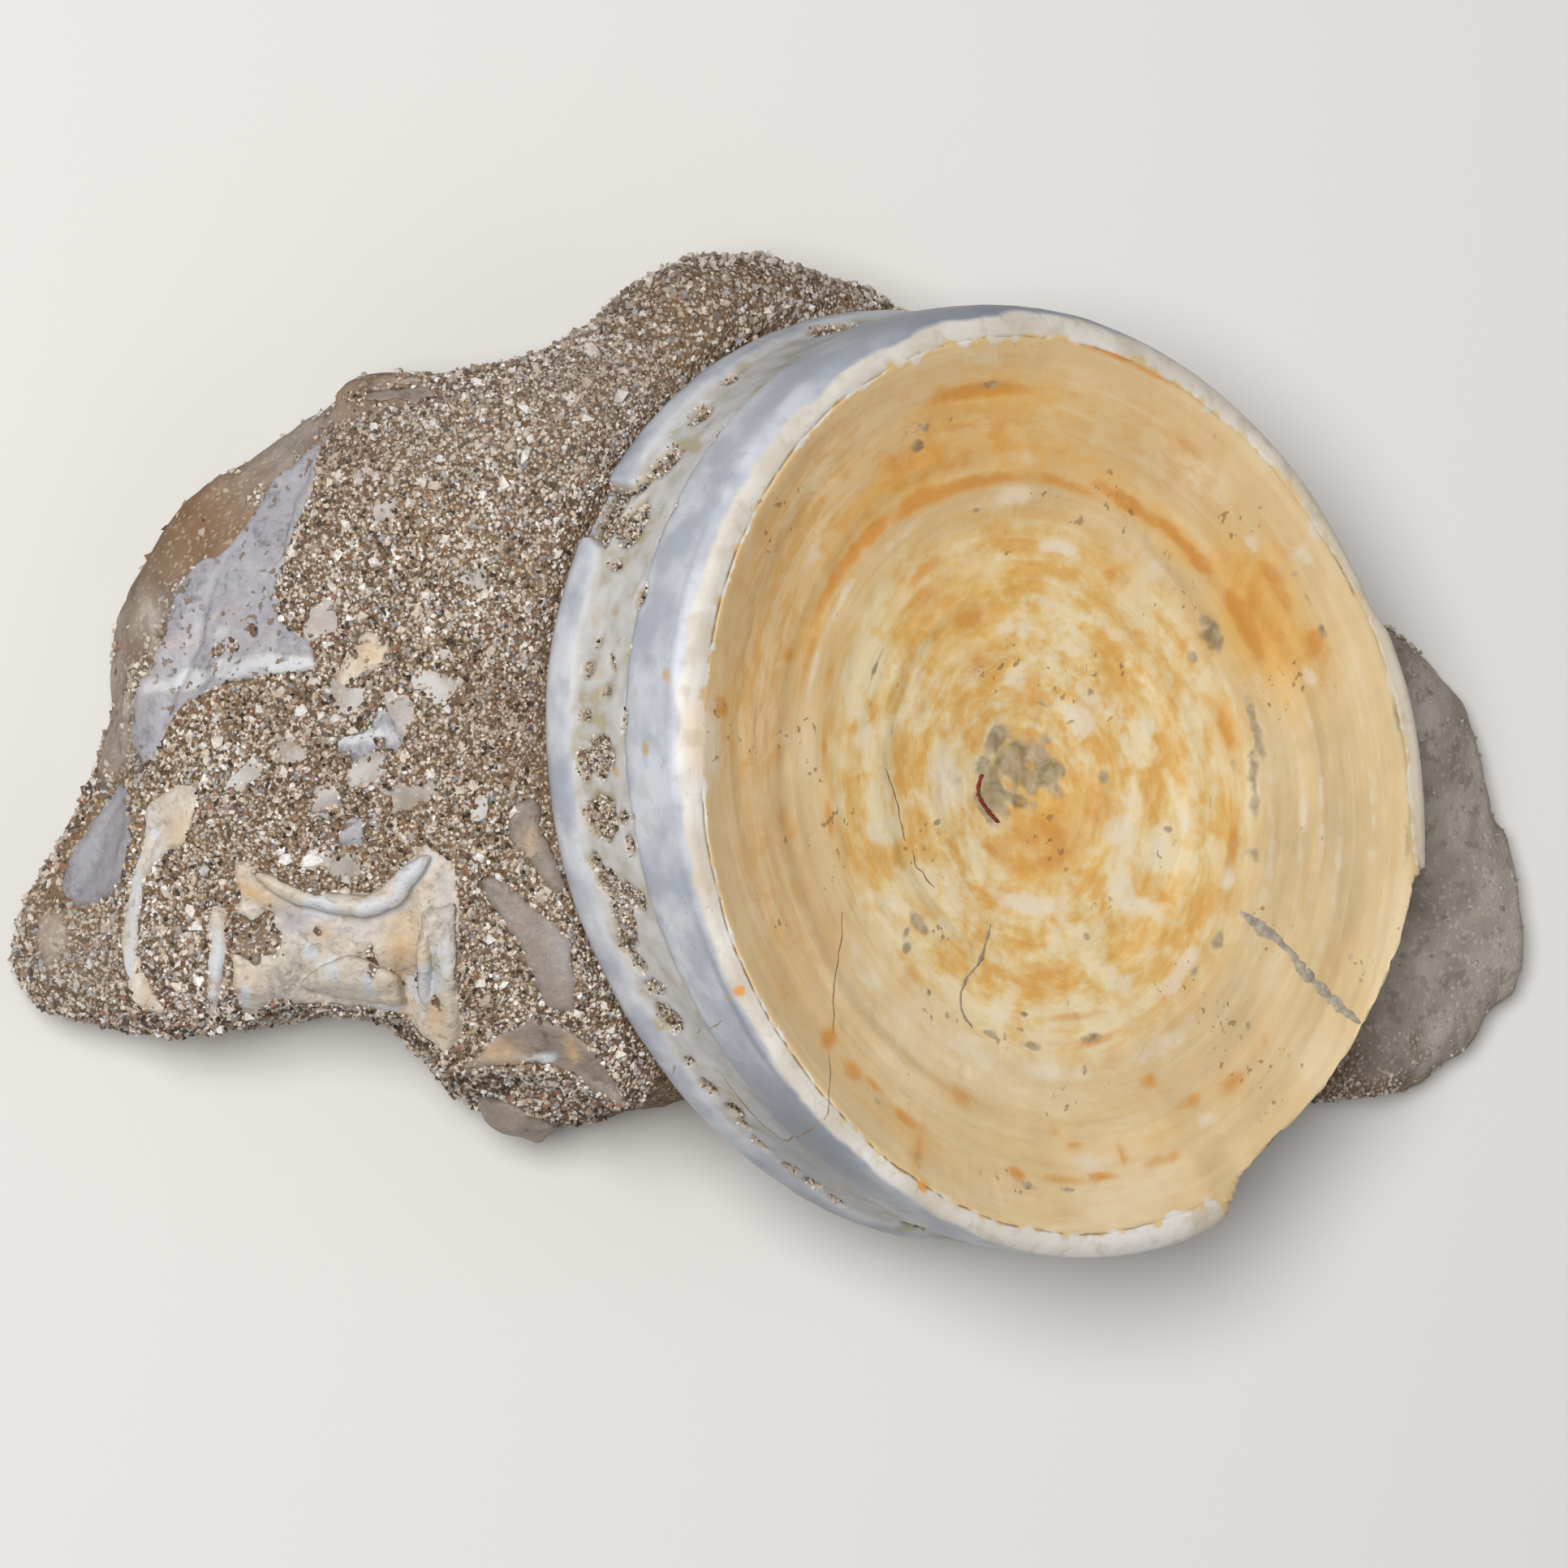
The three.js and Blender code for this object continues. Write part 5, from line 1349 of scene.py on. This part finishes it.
# The grains' plain shapes (sides, rings and seed), how far a corner strays, how much a grain is stretched and
# its size varies, and how far it stands out of the surface, all as parts of its width.
GRAIN_SHAPES = ((4, 2, 1), (5, 2, 2), (3, 3, 3), (4, 2, 4), (5, 2, 5))
CORNER_SHIFT = 0.13
STRETCHED = (0.65, 1.35)
SIZE_VARIES = (0.6, 1.5)
STANDS_OUT = (-0.12, 0.22)
FULL_TURN = 6.283  # radians


def grain_tree(material):
    """Geometry Nodes that pack angular grains over a mesh where its grain_share is above zero."""
    tree = bpy.data.node_groups.new("packed_grains", "GeometryNodeTree")
    inputs = [
        ("Surface", "NodeSocketGeometry", None), ("Grains per Area", "NodeSocketFloat", 1.0e7),
        ("Size", "NodeSocketFloat", 0.3 * MM), ("Seed", "NodeSocketInt", 1), ("Lift", "NodeSocketFloat", 0.0),
        ("Darkest", "NodeSocketFloat", 0.0), ("Palest", "NodeSocketFloat", 1.0),
    ]
    for name, kind, default in inputs:
        socket = tree.interface.new_socket(name, in_out="INPUT", socket_type=kind)
        if default is not None:
            socket.default_value = default
    tree.interface.new_socket("Grains", in_out="OUTPUT", socket_type="NodeSocketGeometry")

    def add(kind, settings=(), **values):
        node = tree.nodes.new(kind)
        for name, value in dict(settings).items():
            setattr(node, name, value)
        for name, value in values.items():
            socket = node.inputs[name.replace("_", " ")]
            if isinstance(value, bpy.types.NodeSocket):
                tree.links.new(value, socket)
            else:
                socket.default_value = value
        return node

    given = add("NodeGroupInput").outputs
    named = add("GeometryNodeInputNamedAttribute", {"data_type": "FLOAT"}, Name="grain_share")
    share = named.outputs["Attribute"]
    density = add("ShaderNodeMath", {"operation": "MULTIPLY"})
    tree.links.new(share, density.inputs[0])
    tree.links.new(given["Grains per Area"], density.inputs[1])
    spread = add("GeometryNodeDistributePointsOnFaces", {"distribute_method": "RANDOM"})
    tree.links.new(given["Surface"], spread.inputs["Mesh"])
    tree.links.new(density.outputs[0], spread.inputs["Density"])
    tree.links.new(given["Seed"], spread.inputs["Seed"])

    def number(low, high, seed):
        node = add("FunctionNodeRandomValue", {"data_type": "FLOAT"})
        for socket, value in ((node.inputs[2], low), (node.inputs[3], high)):
            if isinstance(value, bpy.types.NodeSocket):
                tree.links.new(value, socket)
            else:
                socket.default_value = value
        node.inputs["Seed"].default_value = seed
        return node.outputs[1]

    def vector(low, high, seed):
        node = add("FunctionNodeRandomValue", {"data_type": "FLOAT_VECTOR"})
        node.inputs[0].default_value = (low,) * 3
        node.inputs[1].default_value = (high,) * 3
        node.inputs["Seed"].default_value = seed
        return node.outputs[0]

    shapes = add("GeometryNodeGeometryToInstance")
    for sides, rings, seed in GRAIN_SHAPES:
        ball = add("GeometryNodeMeshUVSphere", Segments=sides, Rings=rings, Radius=0.5)
        dented = add("GeometryNodeSetPosition", Geometry=ball.outputs["Mesh"])
        tree.links.new(vector(-CORNER_SHIFT, CORNER_SHIFT, seed), dented.inputs["Offset"])
        tree.links.new(dented.outputs[0], shapes.inputs[0])
    copies = add("GeometryNodeInstanceOnPoints", Points=spread.outputs["Points"], Instance=shapes.outputs[0])
    copies.inputs["Pick Instance"].default_value = True
    which = add("FunctionNodeRandomValue", {"data_type": "INT"})
    which.inputs[4].default_value = 0
    which.inputs[5].default_value = len(GRAIN_SHAPES) - 1
    which.inputs["Seed"].default_value = 9
    tree.links.new(which.outputs[2], copies.inputs["Instance Index"])
    tree.links.new(vector(0, FULL_TURN, 10), copies.inputs["Rotation"])
    stretch = add("ShaderNodeVectorMath", {"operation": "SCALE"})
    tree.links.new(vector(*STRETCHED, 11), stretch.inputs[0])
    size = add("ShaderNodeMath", {"operation": "MULTIPLY"})
    tree.links.new(given["Size"], size.inputs[0])
    tree.links.new(number(*SIZE_VARIES, 12), size.inputs[1])
    tree.links.new(size.outputs[0], stretch.inputs["Scale"])
    tree.links.new(stretch.outputs[0], copies.inputs["Scale"])
    rise = add("ShaderNodeMath", {"operation": "MULTIPLY_ADD"})
    tree.links.new(number(*STANDS_OUT, 13), rise.inputs[0])
    tree.links.new(given["Size"], rise.inputs[1])
    tree.links.new(given["Lift"], rise.inputs[2])
    lift = add("ShaderNodeVectorMath", {"operation": "SCALE"})
    tree.links.new(spread.outputs["Normal"], lift.inputs[0])
    tree.links.new(rise.outputs[0], lift.inputs["Scale"])
    seated = add("GeometryNodeSetPosition", Geometry=spread.outputs["Points"], Offset=lift.outputs[0])
    tree.links.new(seated.outputs[0], copies.inputs["Points"])
    toned = add("GeometryNodeStoreNamedAttribute", {"data_type": "FLOAT", "domain": "INSTANCE"}, Name="tone")
    tree.links.new(copies.outputs[0], toned.inputs["Geometry"])
    tree.links.new(number(given["Darkest"], given["Palest"], 14), toned.inputs["Value"])
    real = add("GeometryNodeRealizeInstances", Geometry=toned.outputs[0])
    painted = add("GeometryNodeSetMaterial", Geometry=real.outputs[0], Material=material)
    out = add("NodeGroupOutput")
    tree.links.new(painted.outputs[0], out.inputs[0])
    return tree


def packed_grains(name, surface, share, tree, per_square_mm, size, seed, darkest=0.0):
    """A mesh of the grains that lie on part of a surface."""
    store(surface, "grain_share", share)
    work = link("work", surface.copy())
    surface.attributes.remove(surface.attributes["grain_share"])
    nodes = work.modifiers.new("Grains", "NODES")
    nodes.node_group = tree
    values = {"Grains per Area": per_square_mm * 1e6, "Size": size, "Seed": seed, "Darkest": darkest}
    for item in tree.interface.items_tree:
        if item.name in values:
            nodes[item.identifier] = values[item.name]
    mesh = evaluated(work)
    drop(work)
    mesh.name = name
    points, _ = corners_of(mesh)
    points[:, 2] = np.maximum(points[:, 2], 0)
    move_corners(mesh, points)
    return link(name, mesh)


def point_values(mesh, name):
    values = np.empty(len(mesh.vertices))
    mesh.attributes[name].data.foreach_get("value", values)
    return values


class FOSSIL_OT_grains(bpy.types.Operator):
    """Pack sand grains over the sandstone and into the holes of the vertebra's side"""

    bl_idname = "fossil.grains"
    bl_label = "Sand grains"

    def execute(self, context):
        settings = context.scene.sandstone_settings
        material = grain_material()
        tree = grain_tree(material)
        lump = bpy.data.objects["sandstone"].data
        points, normals = corners_of(lump)
        open_air = point_values(lump, "open_air") * (1 - 0.96 * point_values(lump, "smooth"))
        on_bench = in_seat(points, BENCH_SEAT)
        x, y = points[:, 0] / MM, points[:, 1] / MM
        up = normals[:, 2]
        bench = (on_bench[:, 2] > 1.5) & (up > 0.35) & (x < 5)
        ledge = (x > 5) & (up > 0.3)
        front = (y < -8) & ~bench & ~ledge
        rest = ~bench & ~ledge & ~front
        upper, middle = on_bench[:, 1] > 7, (on_bench[:, 1] <= 7) & (on_bench[:, 1] > -4.5)
        patches = [
            ("upper_grains", bench & upper, 27.0, 1.0), ("middle_grains", bench & middle, 27.0, 1.0),
            ("lower_grains", bench & ~upper & ~middle, 27.0, 1.0), ("ledge_grains", ledge, 14.0, 1.0),
            ("front_grains", front, 12.0, 1.3), ("rear_grains", rest, 6.0, 1.5),
        ]
        for seed, (name, where, per_square_mm, scale) in enumerate(patches):
            share = np.where(where, open_air, 0.0)
            grains = packed_grains(
                name, lump, share, tree, per_square_mm, settings.grain_size * scale, 31 + seed
            )
            finish_piece(grains, material)
        bits = np.where(bench & (points[:, 2] > 3 * MM), open_air, 0.0)
        shells = packed_grains("shell_bits", lump, bits, tree, 0.45, settings.grain_size * 2.3, 61, 0.7)
        finish_piece(shells, material)
        pieces = [bpy.data.objects[f"fine_{row[0]}"].data for row in FRAGMENTS]
        bones = joined(pieces)
        sand = np.concatenate([point_values(piece, "sand") for piece in pieces])
        grains = packed_grains("bone_grains", bones, sand, tree, 24.0, settings.grain_size, 41)
        finish_piece(grains, material)
        side = bpy.data.objects["vertebra"].data
        sand = (point_values(side, "sand") > 0.55) * 1.0
        grains = packed_grains("pit_grains", side, sand, tree, 42.0, settings.grain_size * 0.8, 51)
        finish_piece(grains, material)
        return {"FINISHED"}


# ---- The table, the lights and the camera ----

CAMERA_PLACE = (-143.9, 0.1, 376.0)
VIEW_PITCH = 20
LENS = 165.8


def area_light(name, power, place, target, width):
    light = bpy.data.lights.new(name, "AREA")
    light.shape = "DISK"
    light.energy = power
    light.size = width
    lamp = bpy.data.objects.new(name, light)
    lamp.location = place
    away = Matrix.Translation(place).to_translation() - Matrix.Translation(target).to_translation()
    lamp.rotation_euler = away.to_track_quat("Z", "Y").to_euler()
    bpy.context.scene.collection.objects.link(lamp)


class FOSSIL_OT_stage(bpy.types.Operator):
    """Set up the plain table, the soft lights and the camera"""

    bl_idname = "fossil.stage"
    bl_label = "Table and lights"

    def execute(self, context):
        settings = context.scene.studio_settings
        half = 3.0
        corners = np.array([(-half, -half, 0), (half, -half, 0), (half, half, 0), (-half, half, 0)])
        table = link("table", mesh_of("table", corners, [(0, 1, 2, 3)]))
        paint = Paint("plain_table", 0.85, 0.2)
        paint.shader.inputs["Base Color"].default_value = (*settings.floor, 1)
        table.data.materials.append(paint.material)
        area_light("key", settings.key_power, (-0.27, 0.06, 0.52), (0, 0, 0.02), 0.24)
        area_light("fill", settings.fill_power, (0.3, -0.05, 0.6), (0, 0, 0.02), 0.4)
        world = bpy.data.worlds.new("room")
        world.use_nodes = True
        world.node_tree.nodes["Background"].inputs["Strength"].default_value = settings.sky
        world.node_tree.nodes["Background"].inputs["Color"].default_value = (1, 1, 1, 1)
        context.scene.world = world
        context.scene.view_settings.view_transform = "Standard"
        lens = bpy.data.cameras.new("camera")
        lens.sensor_width = 36
        lens.lens = LENS
        lens.clip_start = 0.01
        lens.clip_end = 20
        camera = bpy.data.objects.new("camera", lens)
        camera.location = [part * MM for part in CAMERA_PLACE]
        camera.rotation_euler = (0, -math.radians(VIEW_PITCH), 0)
        context.scene.collection.objects.link(camera)
        context.scene.camera = camera
        return {"FINISHED"}


# ---- The sidebar ----


class FOSSIL_PT_panel(bpy.types.Panel):
    bl_label = "Shark vertebra fossil"
    bl_idname = "FOSSIL_PT_panel"
    bl_space_type = "VIEW_3D"
    bl_region_type = "UI"
    bl_category = "Fossil"

    def draw(self, context):
        for operator in OPERATORS:
            self.layout.operator(operator.bl_idname)
        for name, group in SETTINGS.items():
            box = self.layout.box()
            for key in group.__annotations__:
                box.prop(getattr(context.scene, name), key)


SETTINGS = {
    "vertebra_settings": VertebraSettings,
    "sandstone_settings": SandstoneSettings,
    "bone_settings": BoneSettings,
    "studio_settings": StudioSettings,
}
OPERATORS = [FOSSIL_OT_stage, FOSSIL_OT_vertebra, FOSSIL_OT_fragments, FOSSIL_OT_sandstone, FOSSIL_OT_grains]
CLASSES = [*SETTINGS.values(), *OPERATORS, FOSSIL_PT_panel]


def register():
    for item in CLASSES:
        bpy.utils.register_class(item)
    for name, group in SETTINGS.items():
        setattr(bpy.types.Scene, name, bpy.props.PointerProperty(type=group))


def unregister():
    for name in SETTINGS:
        delattr(bpy.types.Scene, name)
    for item in reversed(CLASSES):
        bpy.utils.unregister_class(item)


def main():
    register()
    bpy.ops.fossil.stage()
    bpy.ops.fossil.vertebra()
    bpy.ops.fossil.fragments()
    bpy.ops.fossil.sandstone()
    bpy.ops.fossil.grains()


if __name__ == "__main__":
    main()
